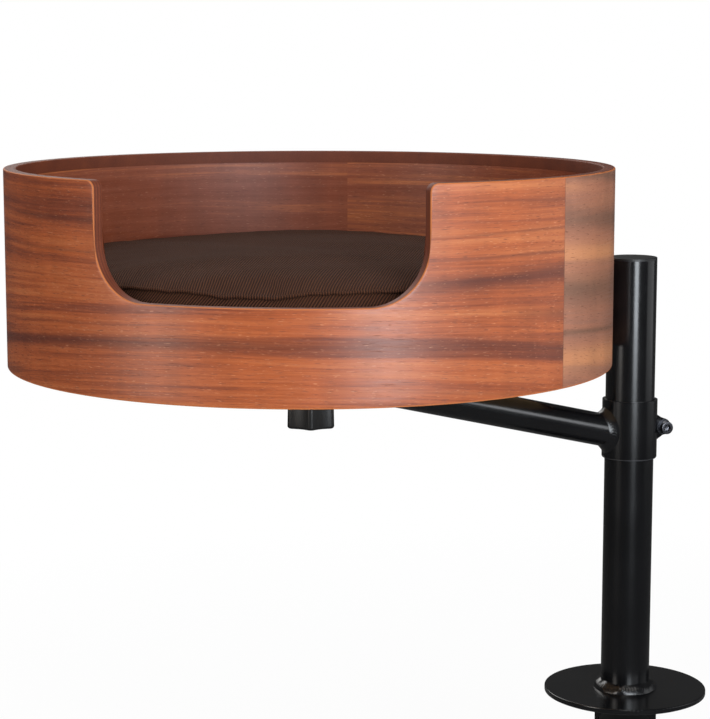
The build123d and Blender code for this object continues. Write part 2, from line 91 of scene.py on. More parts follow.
# Places that the CAD model's boxes don't give
ARM_WAY = (*BED[:2] / np.hypot(*BED[:2]), 0.0)
ARM_RADIUS = 12.7 * MM
LUG_AZIMUTH = math.radians(28)
LUG_WAY = np.array([math.cos(LUG_AZIMUTH), math.sin(LUG_AZIMUTH), 0.0])
LUG_FACE = 5.0 * MM
LOCK_WAY = (LUG_WAY[1], -LUG_WAY[0], 0.0)
LOCK_MIDDLE = 27.0 * MM * LUG_WAY + (0, 0, 213.5 * MM)
LOCK_NUT_FLATS = 10.0 * MM


def linear(shade):
    """Linear RGBA of an sRGB hex colour."""
    parts = [int(shade[i : i + 2], 16) / 255 for i in (0, 2, 4)]
    return tuple(c / 12.92 if c <= 0.04045 else ((c + 0.055) / 1.055) ** 2.4 for c in parts) + (1.0,)


def colour(label, shade, about):
    return bpy.props.FloatVectorProperty(
        name=label, description=about, subtype="COLOR", size=4, min=0, max=1, default=linear(shade)
    )


def length(label, value, about):
    return bpy.props.FloatProperty(
        name=label, description=about, subtype="DISTANCE", unit="LENGTH", min=0, default=value, precision=5
    )


class CatBedSizes(bpy.types.PropertyGroup):
    """Sizes of the detail that the looks add to the CAD model"""

    entrance_half: bpy.props.FloatProperty(
        name="Entrance half angle",
        description="Angle about the bed's axis from the middle of the entrance to its side",
        subtype="ANGLE",
        default=math.radians(30),
    )
    entrance_sill: length("Entrance sill", 65 * MM, "Height of the entrance's lower edge above the underside")
    entrance_low: length("Lower corner", 40 * MM, "Radius of the entrance's lower corners")
    entrance_high: length("Upper corner", 6 * MM, "Radius of the entrance's upper corners")
    edge_round: length("Edge round", 1.0 * MM, "Radius sanded onto the plywood's edges")
    band_height: length("Cushion band", 59 * MM, "Height of the cushion's side band between its seams")
    band_draw_in: length("Band draw-in", 4.5 * MM, "How far the seams lie inside the band's widest place")
    rib_pitch: length("Rib pitch", 1.85 * MM, "Distance between two ribs of the cushion's cloth")
    zip_middle: length("Zip height", 19 * MM, "Height of the zip's teeth above the cushion's underside")
    tooth_pitch: length("Tooth pitch", 1.9 * MM, "Distance between two teeth on one side of the zip")
    bead_pitch: length("Bead pitch", 1.9 * MM, "Distance between two ripples of a weld bead")


class CatBedColours(bpy.types.PropertyGroup):
    """Colours of the finishes"""

    veneer_dark: colour("Veneer streak", "4c2318", "Dark heartwood streaks in the walnut")
    veneer_mid: colour("Veneer", "904721", "Body of the walnut veneer")
    veneer_light: colour("Veneer light", "b77341", "Pale early wood in the walnut veneer")
    veneer_grey: colour("Second leaf", "8a6350", "Greyer veneer leaf beside the butt joint")
    ply_edge: colour("Plywood edge", "66301a", "Stained cut edge of the plywood")
    birch: colour("Birch", "c79f6c", "Bare birch face of the bed's floor")
    cloth_rib: colour("Cloth rib", "50301f", "Raised ribs of the cushion's cloth")
    # Painted shade: the colour of the hollows between the cushion's ribs.
    cloth_gap_shade: colour("Cloth gap", "120a07", "Gaps between the ribs")
    powder_coat: colour("Powder coat", "050506", "Gloss black powder coat on the steel")
    plastic: colour("Black plastic", "0b0b0c", "Moulded plastic of the knob, caps and hand wheel")


def sizes():
    return bpy.context.scene.cat_bed_sizes


def shades():
    return bpy.context.scene.cat_bed_colours


# Meshes


def grid_quads(rows, cols, close_rows=False, close_cols=True):
    """Corner indices of each cell of a rows by cols grid of points, rows first."""
    down, across = np.arange(rows - (not close_rows)), np.arange(cols - (not close_cols))
    i, j = np.meshgrid(down, across, indexing="ij")
    here, above, right = i * cols, (i + 1) % rows * cols, (j + 1) % cols
    return np.stack([here + j, here + right, above + right, above + j], -1).reshape(-1, 4)


def tube_faces(rows, cols):
    """Cells of a tube that runs along its columns, with a face across each open end."""
    first = np.arange(rows) * cols
    return grid_quads(rows, cols, True, False).tolist() + [first.tolist(), (first + cols - 1)[::-1].tolist()]


def even_turns(count):
    return np.linspace(0, TURN, count, endpoint=False)


def turned(rows, count, closed=False):
    """Surface round Z: the point at a row and turn t is (radius cos t, radius sin t, height). A row gives
    its radius and height, each as one number or one for every turn. A closed surface joins its last row
    to its first, and an open one is capped by a fan to a point on the axis at each end."""
    turn = even_turns(count)
    r, z = (np.array([np.broadcast_to(value, count) for value in part]) for part in zip(*rows))
    points = np.stack([r * np.cos(turn), r * np.sin(turn), z], -1).reshape(-1, 3)
    faces = grid_quads(len(r), count, closed).tolist()
    if not closed:
        j = np.arange(count)
        for row, order in ((0, -1), (len(r) - 1, 1)):
            ring = [row * count + j, row * count + (j + 1) % count][::order]
            faces += np.stack([*ring, np.full(count, len(points))], -1).tolist()
            points = np.vstack([points, [0, 0, z[row].mean()]])
    return points, faces


def profile(rows, base):
    """Rows of a turned surface, from radii and heights above a base in millimetres."""
    return [(radius * MM, base + height * MM) for radius, height in rows]


def carried(points, origin, z_axis, x_hint=(1.0, 0.0, 0.0)):
    """Points drawn about a local origin, turned so that local Z lies along z_axis, and moved to origin."""
    z = np.array(z_axis, float) / np.linalg.norm(z_axis)
    x = np.array(x_hint, float) - z * np.dot(x_hint, z)
    x /= np.linalg.norm(x)
    return points @ np.array([x, np.cross(z, x), z]) + np.array(origin, float)


def at_arm(points):
    """Points drawn with the arm along +X, turned to its azimuth."""
    return carried(points, (0, 0, 0), (0, 0, 1), ARM_WAY)


def at_lock(points):
    """Points drawn about +Z, laid along the lock screw: the origin goes to the middle of the slit."""
    return carried(points, LOCK_MIDDLE, LOCK_WAY, LUG_WAY)


def about_bed(angle, radius, height):
    """Points at an angle, a distance from the bed's axis and a height."""
    return np.stack([BED[0] + radius * np.cos(angle), BED[1] + radius * np.sin(angle), height], -1)


def volume(points, faces):
    """Signed volume inside a closed surface: the sum of its triangles' box products, over six."""
    total = 0.0
    for size in {len(f) for f in faces}:
        corners = points[np.array([f for f in faces if len(f) == size])]
        for k in range(1, size - 1):
            total += np.einsum("ij,ij->", corners[:, 0], np.cross(corners[:, k], corners[:, k + 1])) / 6
    return total


def new_piece(name, points, faces, body, looks, stands_for="", corner_uv=None, groups=None, sharp=35):
    """Object for a closed mesh, with its faces outwards, that rides on a body. Looks name its finishes, one
    material each. It may stand for a CAD node."""
    points = points.reshape(-1, 3)
    faces = [list(f) for f in faces]
    if volume(points, faces) < 0:
        faces = [f[::-1] for f in faces]
        if corner_uv is not None:
            corner_uv = corner_uv[:, ::-1]
    mesh = bpy.data.meshes.new(name)
    mesh.from_pydata(points.tolist(), [], faces)
    mesh.polygons.foreach_set("use_smooth", np.ones(len(faces), bool))
    mesh.set_sharp_from_angle(angle=math.radians(sharp))
    if corner_uv is not None:
        mesh.uv_layers.new(name="cloth_or_grain").data.foreach_set("uv", corner_uv.ravel())
    if groups is not None:
        mesh.polygons.foreach_set("material_index", groups)
    for look in looks.split():
        mesh.materials.append(finish(look))
    ob = bpy.data.objects.new(name, mesh)
    bpy.context.scene.collection.objects.link(ob)
    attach(ob, body)
    if stands_for:
        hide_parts(stands_for)
    return ob


def hexagon(turn, flats):
    """Distance from the axis to a hexagon with a corner at turn 0: half its flats over the cosine of the
    angle to the nearest flat's middle."""
    return flats / 2 / np.cos(np.mod(turn, TURN / 6) - TURN / 12)


def scooped(turn, radius, count, scoop, depth, soft):
    """Distance from the axis to a round grip with hollows: the soft minimum of the rim's circle and of
    the near side of each hollow's circle, whose centre lies outside the rim."""
    centre = radius + scoop - depth
    off = np.mod(turn, TURN / count) - TURN / count / 2
    inside = scoop**2 - (centre * np.sin(off)) ** 2
    hollow = np.where(inside > 0, centre * np.cos(off) - np.sqrt(np.maximum(inside, 0)), 2 * radius)
    return -soft * np.logaddexp(-radius / soft, -hollow / soft)


def moulded(grip, draft, low_edge, high_edge, low, high, steps):
    """Rows up a moulded grip: quarter circles round its lower and upper edge, and a wall between them that
    leans in by the draft."""
    bend = np.linspace(0, math.pi / 2, steps)
    rows = [(grip - low_edge * (1 - math.sin(a)), low + low_edge * (1 - math.cos(a))) for a in bend]
    return rows + [(grip - draft - high_edge * (1 - math.cos(a)), high - high_edge * (1 - math.sin(a)))
                   for a in bend]


def thread(radius, depth, pitch, low, high, count, steps=8):
    """Rows of a screw thread: the radius falls from the crest by depth times a flattened triangle wave of
    height over pitch minus turn, and runs out in a chamfer at both ends."""
    z = np.linspace(low, high, max(4, int(round((high - low) / pitch * steps))))[:, None]
    phase = np.mod(z / pitch - even_turns(count) / TURN, 1)
    wave = np.clip((2 * np.abs(phase - 0.5) - 0.12) / 0.72, 0, 1)
    edge = radius - depth - 0.1 * MM + np.minimum(z - low, high - z)
    crest = np.minimum(radius - depth * (1 - wave), np.maximum(edge, radius - depth))
    return list(zip(crest, z))


def nut_rows(flats, bore, low, high, count):
    """Rows of a hexagon nut: the flats, cut at both ends by a 30 degree cone about the axis, the faces, and
    a bore with a countersink."""
    corner = hexagon(even_turns(count), flats)
    cone = flats / 2 * 0.97
    rim = np.minimum(corner, cone)
    cut = np.maximum(corner - cone, 0) * math.tan(math.radians(30))
    ring, sink = flats / 2 * 0.95, 0.5 * MM
    return [(ring, low), (rim, low), (corner, low + cut), (corner, high - cut), (rim, high), (ring, high),
            (bore + sink, high), (bore, high - sink), (bore, low + sink), (bore + sink, low)]


def bead(name, toe, foot, corner, swell, body, stands_for, closed=True, ripple=0.16 * MM, lumps=None):
    """Weld bead between two toe lines, N by 3 points each, that meet the parts it joins, with the parts'
    own corner line under it. Its face is a quadratic Bezier curve from toe to foot, whose middle point is
    moved from the corner by swell times the throat, and crescent ripples stand on it: the absolute
    sine of the length along the seam plus a part that bows across the face."""
    steps = 11
    t = np.linspace(0, 1, steps)[:, None, None]
    chord = (toe + foot) / 2
    throat = chord - corner
    face = (1 - t) ** 2 * toe + 2 * t * (1 - t) * (chord + throat * swell) + t**2 * foot
    walk = np.linalg.norm(np.diff(corner, axis=0, append=corner[:1]), axis=1)
    along = np.concatenate([[0], np.cumsum(walk)[:-1]])
    pitch = sizes().bead_pitch
    if closed:
        pitch = walk.sum() / round(walk.sum() / pitch)
    t = t[..., 0]
    bow = 0.45 * np.linalg.norm(toe - foot, axis=1).mean() * (1 - (2 * t - 1) ** 2)
    crest = np.abs(np.sin(np.pi * (along - bow) / pitch)) - 0.6
    lift = ripple * crest * np.sin(np.pi * t) ** 0.7
    if lumps is not None:
        lift = lift + lumps(along / walk.sum() * TURN) * np.sin(np.pi * t)
    out = throat / np.linalg.norm(throat, axis=1, keepdims=True)
    rows = np.concatenate([face + out * lift[..., None], corner[None]])
    count = len(corner)
    faces = grid_quads(steps + 1, count, True) if closed else tube_faces(steps + 1, count)
    return new_piece(name, rows, faces, body, "powder_coat", stands_for, sharp=50)


# Materials

# Setting that the second word of a node's kind gives
MODES = {"Math": "operation", "VectorMath": "operation", "Mix": "data_type", "MapRange": "interpolation_type"}


def feed(made, *values, **named):
    """Set or link the live inputs of a node, in their order or by name, with _ for a space. A node that is
    given lends its first output."""
    live = [s for s in made.inputs if s.enabled]
    pairs = list(zip(live, values))
    pairs += [(next(s for s in live if s.name == name.replace("_", " ")), named[name]) for name in named]
    for socket, value in pairs:
        if isinstance(value, bpy.types.Node):
            value = next(s for s in value.outputs if s.enabled)
        if isinstance(value, bpy.types.NodeSocket):
            made.id_data.links.new(value, socket)
        else:
            socket.default_value = value


def add(tree, kind, *values, stops=(), **named):
    """Add a shader node. Values fill its inputs from the top. Names with a capital are inputs too, and the
    others are settings. Stops are the places and colours of a ramp."""
    kind, *mode = kind.split()
    made = tree.nodes.new("ShaderNode" + kind)
    settings = {name: value for name, value in named.items() if name[0].islower()}
    settings.update((MODES[kind], word) for word in mode)
    for name, value in settings.items():
        setattr(made, name, value)
    for i, (place, shade) in enumerate(stops):
        steps = made.color_ramp.elements
        step = steps[i] if i < 2 else steps.new(place)
        step.position, step.color = place, shade
    feed(made, *values, **{name: value for name, value in named.items() if name[0].isupper()})
    return made


def start(name, **values):
    """New material with its shader's plain values, its node tree, its shader and its object coordinates."""
    made = bpy.data.materials.new(name)
    made.use_nodes = True
    shader = made.node_tree.nodes["Principled BSDF"]
    feed(shader, **values)
    return made, made.node_tree, shader, add(made.node_tree, "TexCoord").outputs["Object"]


# The function of a finish adds its nodes and gives the inputs of its shader.


def powder_coat(tree, here):
    """Polyester powder coat, baked gloss: it levels to a mirror with a shallow orange peel about 3 mm
    wide, so highlights stay sharp but waver, and fine dust shows as a change of gloss."""
    dust = add(tree, "TexNoise", here, 900.0, 3.0)
    cloud = add(tree, "TexNoise", here, 22.0, 2.0)
    gloss = add(tree, "Math MULTIPLY", dust, cloud)
    rough = add(tree, "MapRange", gloss, 0.1, 0.5, 0.17, 0.27)
    peel = add(tree, "TexNoise", here, 340.0, 1.0)
    bump = add(tree, "Bump", Height=peel, Strength=0.12, Distance=0.1 * MM)
    tint = add(tree, "Mix RGBA", cloud, shades().powder_coat, linear("0a0a0c"))
    return {"Base_Color": tint, "Roughness": rough, "Normal": bump}


def black_plastic(tree, here):
    """Glass-filled nylon, injection moulded in a spark-eroded tool: a grain of about 0.4 mm that breaks
    the highlight, drawn at 0.6 mm so that it shows."""
    grain = add(tree, "TexNoise", here, 1700.0, 2.0)
    cloud = add(tree, "TexNoise", here, 60.0, 2.0)
    bump = add(tree, "Bump", Height=grain, Strength=0.35, Distance=0.06 * MM)
    tint = add(tree, "Mix RGBA", cloud, shades().plastic, linear("131314"))
    rough = add(tree, "MapRange", grain, 0.0, 1.0, 0.34, 0.52)
    return {"Base_Color": tint, "Roughness": rough, "Normal": bump}


def liner_nylon(tree, here):
    """Cast nylon 6 sheet, black: it rubs to a soft sheen in fine scratches round the part."""
    fit = add(tree, "Mapping", here, Scale=(60.0, 60.0, 2500.0))
    scratch = add(tree, "TexNoise", fit, 1.0, 2.0)
    tint = add(tree, "Mix RGBA", scratch, linear("121214"), linear("222226"))
    return {"Base_Color": tint, "Roughness": add(tree, "MapRange", scratch, 0.0, 1.0, 0.38, 0.6)}


def rubber(tree, here):
    """EPDM rubber sheet with a fabric-pressed face: matt, with a 1 mm print."""
    print_marks = add(tree, "TexVoronoi", here, 1000.0)
    cloud = add(tree, "TexNoise", here, 90.0, 3.0)
    tint = add(tree, "Mix RGBA", cloud, linear("151515"), linear("262626"))
    bump = add(tree, "Bump", Height=print_marks, Strength=0.5, Distance=0.1 * MM)
    return {"Base_Color": tint, "Normal": bump}


def zinc_plate(tree, here):
    """Steel, zinc plated and blue passivated: bright but milky, with a faint blue and straw cast."""
    cloud = add(tree, "TexNoise", here, 110.0, 3.0)
    cast = [(0.3, linear("b9bdc4")), (0.55, linear("d2d3d2")), (0.8, linear("cfc9b8"))]
    fine = add(tree, "TexNoise", here, 1500.0, 2.0)
    rough = add(tree, "MapRange", fine, 0.0, 1.0, 0.24, 0.42)
    bump = add(tree, "Bump", Height=fine, Strength=0.15, Distance=0.04 * MM)
    return {"Base_Color": add(tree, "ValToRGB", cloud, stops=cast), "Roughness": rough, "Normal": bump}


def worn_metal(tree, here, grain, detail, dark, bright, smooth, dull):
    """Dark metal with rubbed places: one noise moves its colour and its roughness together."""
    cloud = add(tree, "TexNoise", here, grain, detail)
    tint = add(tree, "Mix RGBA", cloud, linear(dark), linear(bright))
    return {"Base_Color": tint, "Roughness": add(tree, "MapRange", cloud, 0.0, 1.0, smooth, dull)}


def black_oxide(tree, here):
    """Alloy steel screw, blackened in hot oxide and oiled: a dark metal with soft bright edges."""
    return worn_metal(tree, here, 700.0, 3.0, "46474c", "6c6d72", 0.26, 0.42)


def zip_metal(tree, here):
    """Zinc die casting with an antique nickel finish: dark in its hollows and rubbed bright on top."""
    return worn_metal(tree, here, 800.0, 2.0, "57534e", "9a948a", 0.22, 0.4)


def foam(tree, here):
    """Open-celled polyurethane foam, cut with a knife: matt, pale, with cells about 1 mm across."""
    cells = add(tree, "TexVoronoi", here, 900.0)
    tint = add(tree, "ValToRGB", cells, stops=[(0.1, linear("a8946a")), (0.6, linear("e4d9b8"))])
    return {"Base_Color": tint, "Normal": add(tree, "Bump", Height=cells, Strength=0.6, Distance=0.4 * MM)}


def birch_ply(tree, here):
    """Rotary-cut birch plywood, sanded and left bare: pale, with broad watery figure and fine short
    flecks 3 to 8 mm long."""
    broad = add(tree, "Mapping", here, Scale=(4.0, 26.0, 1500.0))
    figure = add(tree, "TexNoise", broad, 1.0, 4.0, Distortion=0.8)
    fine = add(tree, "Mapping", here, Scale=(120.0, 1100.0, 1500.0))
    fleck = add(tree, "TexNoise", fine, 1.0, 2.0)
    level = add(tree, "Math MULTIPLY", add(tree, "Math ADD", figure, fleck), 0.5)
    woods = [(0.3, linear("a97f4f")), (0.5, shades().birch), (0.7, linear("dabd8f"))]
    bump = add(tree, "Bump", Height=fleck, Strength=0.25, Distance=0.08 * MM)
    return {"Base_Color": add(tree, "ValToRGB", level, stops=woods), "Normal": bump}


def streak(tree, across, along, place, slope, width, first, last, fade, rough):
    """Strength of one dark streak of heartwood: a bell curve of the height across the grain about a line
    that climbs by slope, let in and out over fade metres between first and last, its edges frayed."""
    line = add(tree, "Math MULTIPLY_ADD", along, slope, place)
    off = add(tree, "Math SUBTRACT", across, line)
    share = add(tree, "Math DIVIDE", add(tree, "Math MULTIPLY_ADD", rough, width, off), width)
    bell = add(tree, "Math POWER", math.exp(-1), add(tree, "Math MULTIPLY", share, share))
    into = add(tree, "MapRange SMOOTHSTEP", along, first, first + fade)
    out = add(tree, "MapRange SMOOTHSTEP", along, last - fade / 4, last, 1.0, 0.0)
    return add(tree, "Math MULTIPLY", bell, add(tree, "Math MULTIPLY", into, out))


def stretched_noise(tree, along, across, leaf, per_along, per_across, detail=3.0, distortion=0.0):
    """Noise drawn out along the grain: per_along and per_across waves a metre, shifted on each leaf."""
    x = add(tree, "Math MULTIPLY", along, per_along)
    y = add(tree, "Math MULTIPLY", across, per_across)
    place = add(tree, "CombineXYZ", x, y, leaf)
    return add(tree, "TexNoise", place, 1.0, detail, 0.55, Distortion=distortion)


# Streaks that the front leaf of veneer shows: height above the lower edge in millimetres, climb along
# the grain, half width in millimetres, first and last place along the grain, strength.
FRONT_STREAKS = (
    (43.5, 0.0, 4.6, -0.36, 0.300, 0.85),
    (36.5, 0.0, 1.6, -0.05, 0.300, 0.45),
    (52.0, -0.01, 1.2, -0.30, -0.060, 0.35),
    (75.5, 0.052, 5.2, 0.060, 0.300, 0.95),
    (78.0, 0.03, 1.6, -0.02, 0.200, 0.55),
    (61.0, 0.01, 4.2, 0.150, 0.300, 0.70),
    (107.0, 0.02, 1.1, 0.080, 0.300, 0.45),
    (118.5, 0.0, 2.0, -0.260, -0.080, 0.75),
    (98.0, 0.0, 1.0, -0.330, -0.100, 0.45),
    (93.0, 0.02, 1.2, 0.085, 0.300, 0.55),
    (129.0, 0.01, 2.6, 0.140, 0.300, 0.40),
    (14.0, 0.0, 1.4, 0.050, 0.300, 0.35),
    (23.0, 0.0, 3.2, -0.360, -0.200, 0.55),
)
# Bands of the leaf on the right: height where the grain's line crosses the entrance's middle and half
# width in millimetres, how far they reach past the joint, and tone.
RIGHT_LEAF_STREAKS = (
    (165.0, 4.0, 0.30, "5f4232"),
    (137.0, 8.0, 0.30, "5f4232"),
    (88.0, 11.0, 0.30, "5f4232"),
    (56.0, 2.5, 0.30, "5f4232"),
    (112.0, 6.0, 0.27, "b0744a"),
    (40.0, 8.0, 0.27, "b0744a"),
    (155.0, 2.5, 0.05, "b0744a"),
)
RIGHT_LEAF_CLIMB = -0.07
LEAF_JOINTS = (-math.radians(90) * SHELL_RADIUS, math.radians(60) * SHELL_RADIUS)


def walnut_veneer(tree, here, inside=False):
    """Crown-cut walnut veneer, 0.6 mm thick, stained and oiled to a satin: bands 10 to 30 mm wide run
    round the bed, with lines of 1 to 4 mm in them, pores drawn as dashes 7 mm long and 0.5 mm wide,
    which is twice their real width, and pale flecks along the grain that are painted glints of light.
    Only the outside has streaks of heartwood and a greyer leaf on the right; the inside has darker
    tones, which are painted shade."""
    grain = add(tree, "SeparateXYZ", add(tree, "UVMap", uv_map="cloth_or_grain"))
    along, height = grain.outputs["X"], grain.outputs["Y"]
    left = add(tree, "Math LESS_THAN", along, LEAF_JOINTS[0])
    right = add(tree, "Math GREATER_THAN", along, LEAF_JOINTS[1])
    leaf = add(tree, "Math MULTIPLY_ADD", left, 3.7, right)
    leaf = add(tree, "Math MULTIPLY_ADD", leaf, 4.3, 9.1 if inside else 6.8)
    # The grain arches: it lies lower towards both ends of the leaf, and less so near the top.
    bow = add(tree, "Math COSINE", add(tree, "Math MULTIPLY", along, 5.76))
    arch = add(tree, "Math SUBTRACT", 1.0, bow)
    ease = add(tree, "MapRange", height, 0.0, 0.11, 0.0223, 0.0)
    across = add(tree, "Math MULTIPLY_ADD", arch, ease, height)
    wander = stretched_noise(tree, along, across, leaf, 4.0, 14.0, 2.0)
    across = add(tree, "Math MULTIPLY_ADD", wander, 7 * MM, across)
    across = add(tree, "Math SUBTRACT", across, 3.5 * MM)
    bands = stretched_noise(tree, along, across, leaf, 1.6, 46.0, 3.0, 0.4)
    lines = stretched_noise(tree, along, across, leaf, 4.5, 210.0, 4.0, 0.2)
    threads = stretched_noise(tree, along, across, leaf, 16.0, 900.0)
    tone = add(tree, "Math MULTIPLY", bands, 0.5)
    tone = add(tree, "Math MULTIPLY_ADD", lines, 0.3, tone)
    tone = add(tree, "Math MULTIPLY_ADD", threads, 0.2, tone)
    dark, mid, light = shades().veneer_dark, shades().veneer_mid, shades().veneer_light
    # On the inside the mid and light tones are darker and redder: painted shade of the wall's inner face.
    if inside:
        mid, light = linear("7a3f29"), linear("96563a")
    woods = [(0.3, dark), (0.43, linear("70341c")), (0.52, mid), (0.62, linear("a0592f")), (0.74, light)]
    painted = add(tree, "ValToRGB", tone, stops=woods)
    if not inside:
        greyer = add(tree, "Mix RGBA", 0.6, painted, shades().veneer_grey)
        painted = add(tree, "Mix RGBA", right, painted, greyer)
        on_front = add(tree, "Math SUBTRACT", 1.0, add(tree, "Math ADD", left, right))
        for place, slope, width, first, last, strength in FRONT_STREAKS:
            mark = streak(tree, across, along, place * MM, slope, width * MM, first, last, 0.09, lines)
            mark = add(tree, "Math MULTIPLY", mark, strength * 0.8)
            mark = add(tree, "Math MULTIPLY", mark, on_front)
            painted = add(tree, "Mix RGBA", mark, painted, dark)
        broken = add(tree, "Math MULTIPLY", add(tree, "Math MULTIPLY", bands, 1.5), right)
        for place, width, reach, tone_of in RIGHT_LEAF_STREAKS:
            ends = LEAF_JOINTS[1] - 0.5, LEAF_JOINTS[1] + reach
            mark = streak(tree, height, along, place * MM, RIGHT_LEAF_CLIMB, width * MM, *ends, 0.4, lines)
            painted = add(tree, "Mix RGBA", add(tree, "Math MULTIPLY", mark, broken), painted, linear(tone_of))
    mottle = stretched_noise(tree, along, height, leaf, 55.0, 9.0, 2.0)
    mottle = add(tree, "MapRange", mottle, 0.3, 0.7, 0.92, 1.08)
    painted = add(tree, "Mix RGBA", 1.0, painted, mottle, blend_type="MULTIPLY")
    pores = stretched_noise(tree, along, across, leaf, 130.0, 1900.0, 1.0)
    pores = add(tree, "MapRange", pores, 0.62, 0.72)
    painted = add(tree, "Mix RGBA", add(tree, "Math MULTIPLY", pores, 0.55), painted, dark)
    # Pale flecks along the grain: painted glints of light in the colour.
    painted_glints = stretched_noise(tree, along, height, leaf, 210.0, 1500.0, 1.0)
    painted_glints = add(tree, "MapRange", painted_glints, 0.66, 0.74)
    painted = add(tree, "Mix RGBA", add(tree, "Math MULTIPLY", painted_glints, 0.2), painted, linear("d9a27c"))
    for joint in LEAF_JOINTS:
        near = add(tree, "Math ABSOLUTE", add(tree, "Math SUBTRACT", along, joint))
        line = add(tree, "MapRange", near, 0.0, 0.5 * MM, 0.45, 0.0)
        painted = add(tree, "Mix RGBA", line, painted, linear("3a1e16"))
    rough = add(tree, "MapRange", threads, 0.3, 0.7, 0.33, 0.45)
    rough = add(tree, "Math MULTIPLY_ADD", pores, 0.2, rough)
    relief = add(tree, "Math MULTIPLY_ADD", pores, -1.0, threads)
    bump = add(tree, "Bump", Height=relief, Strength=0.25, Distance=0.12 * MM)
    return {"Base_Color": painted, "Roughness": rough, "Normal": bump}


def walnut_veneer_inside_painted_shade(tree, here):
    """The same veneer on the inside of the wall, without the streaks, its tones painted darker and redder as
    shade.
    """
    return walnut_veneer(tree, here, inside=True)


def ply_edge(tree, here):
    """Cut edge of seven-ply board, sanded, stained and oiled: thin layers alternate between long grain and
    darker end grain, all under an orange brown stain. Along the outer arris the walnut face layer shows
    lighter, made lighter still as a painted highlight line."""
    depth = add(tree, "Attribute", attribute_name="depth").outputs["Fac"]
    layer = add(tree, "Math MULTIPLY", depth, 7 / (9 * MM))
    wave = add(tree, "Math SINE", add(tree, "Math MULTIPLY", layer, math.pi))
    step = add(tree, "MapRange", wave, -0.35, 0.35)
    speck = add(tree, "TexNoise", here, 1300.0, 3.0)
    cloud = add(tree, "TexNoise", here, 70.0, 3.0)
    mixed = add(tree, "Math MULTIPLY_ADD", speck, 0.35, add(tree, "Math MULTIPLY", cloud, 0.3))
    lit = add(tree, "Math MULTIPLY_ADD", step, 0.16, mixed)
    woods = [(0.2, linear("4a2012")), (0.5, shades().ply_edge), (0.85, linear("9c5029"))]
    # Lighter orange in the outermost millimetre: the walnut face layer, and a painted highlight along the outer
    # arris.
    face_layer_and_highlight = add(tree, "MapRange", depth, 0.7 * MM, 1.3 * MM, 0.85, 0.0)
    tint = add(tree, "Mix RGBA", face_layer_and_highlight, add(tree, "ValToRGB", lit, stops=woods), linear("a9602f"))
    return {"Base_Color": tint, "Normal": add(tree, "Bump", Height=speck, Strength=0.3, Distance=0.1 * MM)}


def rib_cloth(tree, here):
    """Polyester and cotton rib weave, brushed: round ribs, each with the slant of its own yarn, 0.7 mm
    apart, and the hollows between the ribs painted dark as shade."""
    weave = add(tree, "SeparateXYZ", add(tree, "UVMap", uv_map="cloth_or_grain"))
    wobble = add(tree, "TexNoise", here, 260.0, 2.0)
    ribs = add(tree, "Math MULTIPLY", weave.outputs["X"], TURN / sizes().rib_pitch)
    ribs = add(tree, "Math MULTIPLY_ADD", wobble, 1.6, ribs)
    slant = add(tree, "Math MULTIPLY", weave.outputs["Y"], TURN / (0.7 * MM))
    slant = add(tree, "Math MULTIPLY_ADD", ribs, 0.8, slant)
    yarn = add(tree, "Math SINE", slant)
    lift = add(tree, "Math MULTIPLY_ADD", yarn, 0.22, add(tree, "Math SINE", ribs))
    fuzz = add(tree, "TexNoise", here, 2400.0, 2.0)
    level = add(tree, "MapRange", lift, -1.1, 1.1)
    level = add(tree, "Math ADD", add(tree, "Math MULTIPLY", fuzz, 0.3), level)
    cloud = add(tree, "TexNoise", here, 18.0, 2.0)
    # Dark gaps and lighter ribs follow the ribs' relief: painted shade in the hollows.
    ribs_and_gap_shade = [(0.25, shades().cloth_gap_shade), (0.7, linear("341e16")), (1.0, shades().cloth_rib)]
    tint = add(tree, "ValToRGB", level, stops=ribs_and_gap_shade)
    worn = add(tree, "Mix RGBA", add(tree, "Math MULTIPLY", cloud, 0.25), tint, linear("573828"))
    return {"Base_Color": worn, "Normal": add(tree, "Bump", Height=lift, Strength=0.8, Distance=0.35 * MM)}


def zip_tape_cloth(tree, here):
    """Woven polyester zip tape in black: a fine 0.6 mm herringbone along its length, slightly shiny."""
    weave = add(tree, "SeparateXYZ", add(tree, "UVMap", uv_map="cloth_or_grain"))
    fold = add(tree, "Math PINGPONG", weave.outputs["Y"], 2.4 * MM)
    lean = add(tree, "Math ADD", fold, weave.outputs["X"])
    yarn = add(tree, "Math SINE", add(tree, "Math MULTIPLY", lean, TURN / (0.6 * MM)))
    level = add(tree, "Math MULTIPLY_ADD", yarn, 0.3, add(tree, "TexNoise", here, 2000.0, 2.0))
    tint = add(tree, "ValToRGB", level, stops=[(0.2, linear("0c0b0b")), (0.8, linear("2a2725"))])
    return {"Base_Color": tint, "Normal": add(tree, "Bump", Height=yarn, Strength=0.5, Distance=0.1 * MM)}


def thread_cotton(tree, here):
    """Core-spun sewing thread in dark brown: two plies twisted every 1.2 mm."""
    ply = add(tree, "TexWave", here, 260.0, 1.0, bands_direction="DIAGONAL")
    return {"Base_Color": add(tree, "Mix RGBA", ply, linear("2a1d16"), linear("5a463a"))}


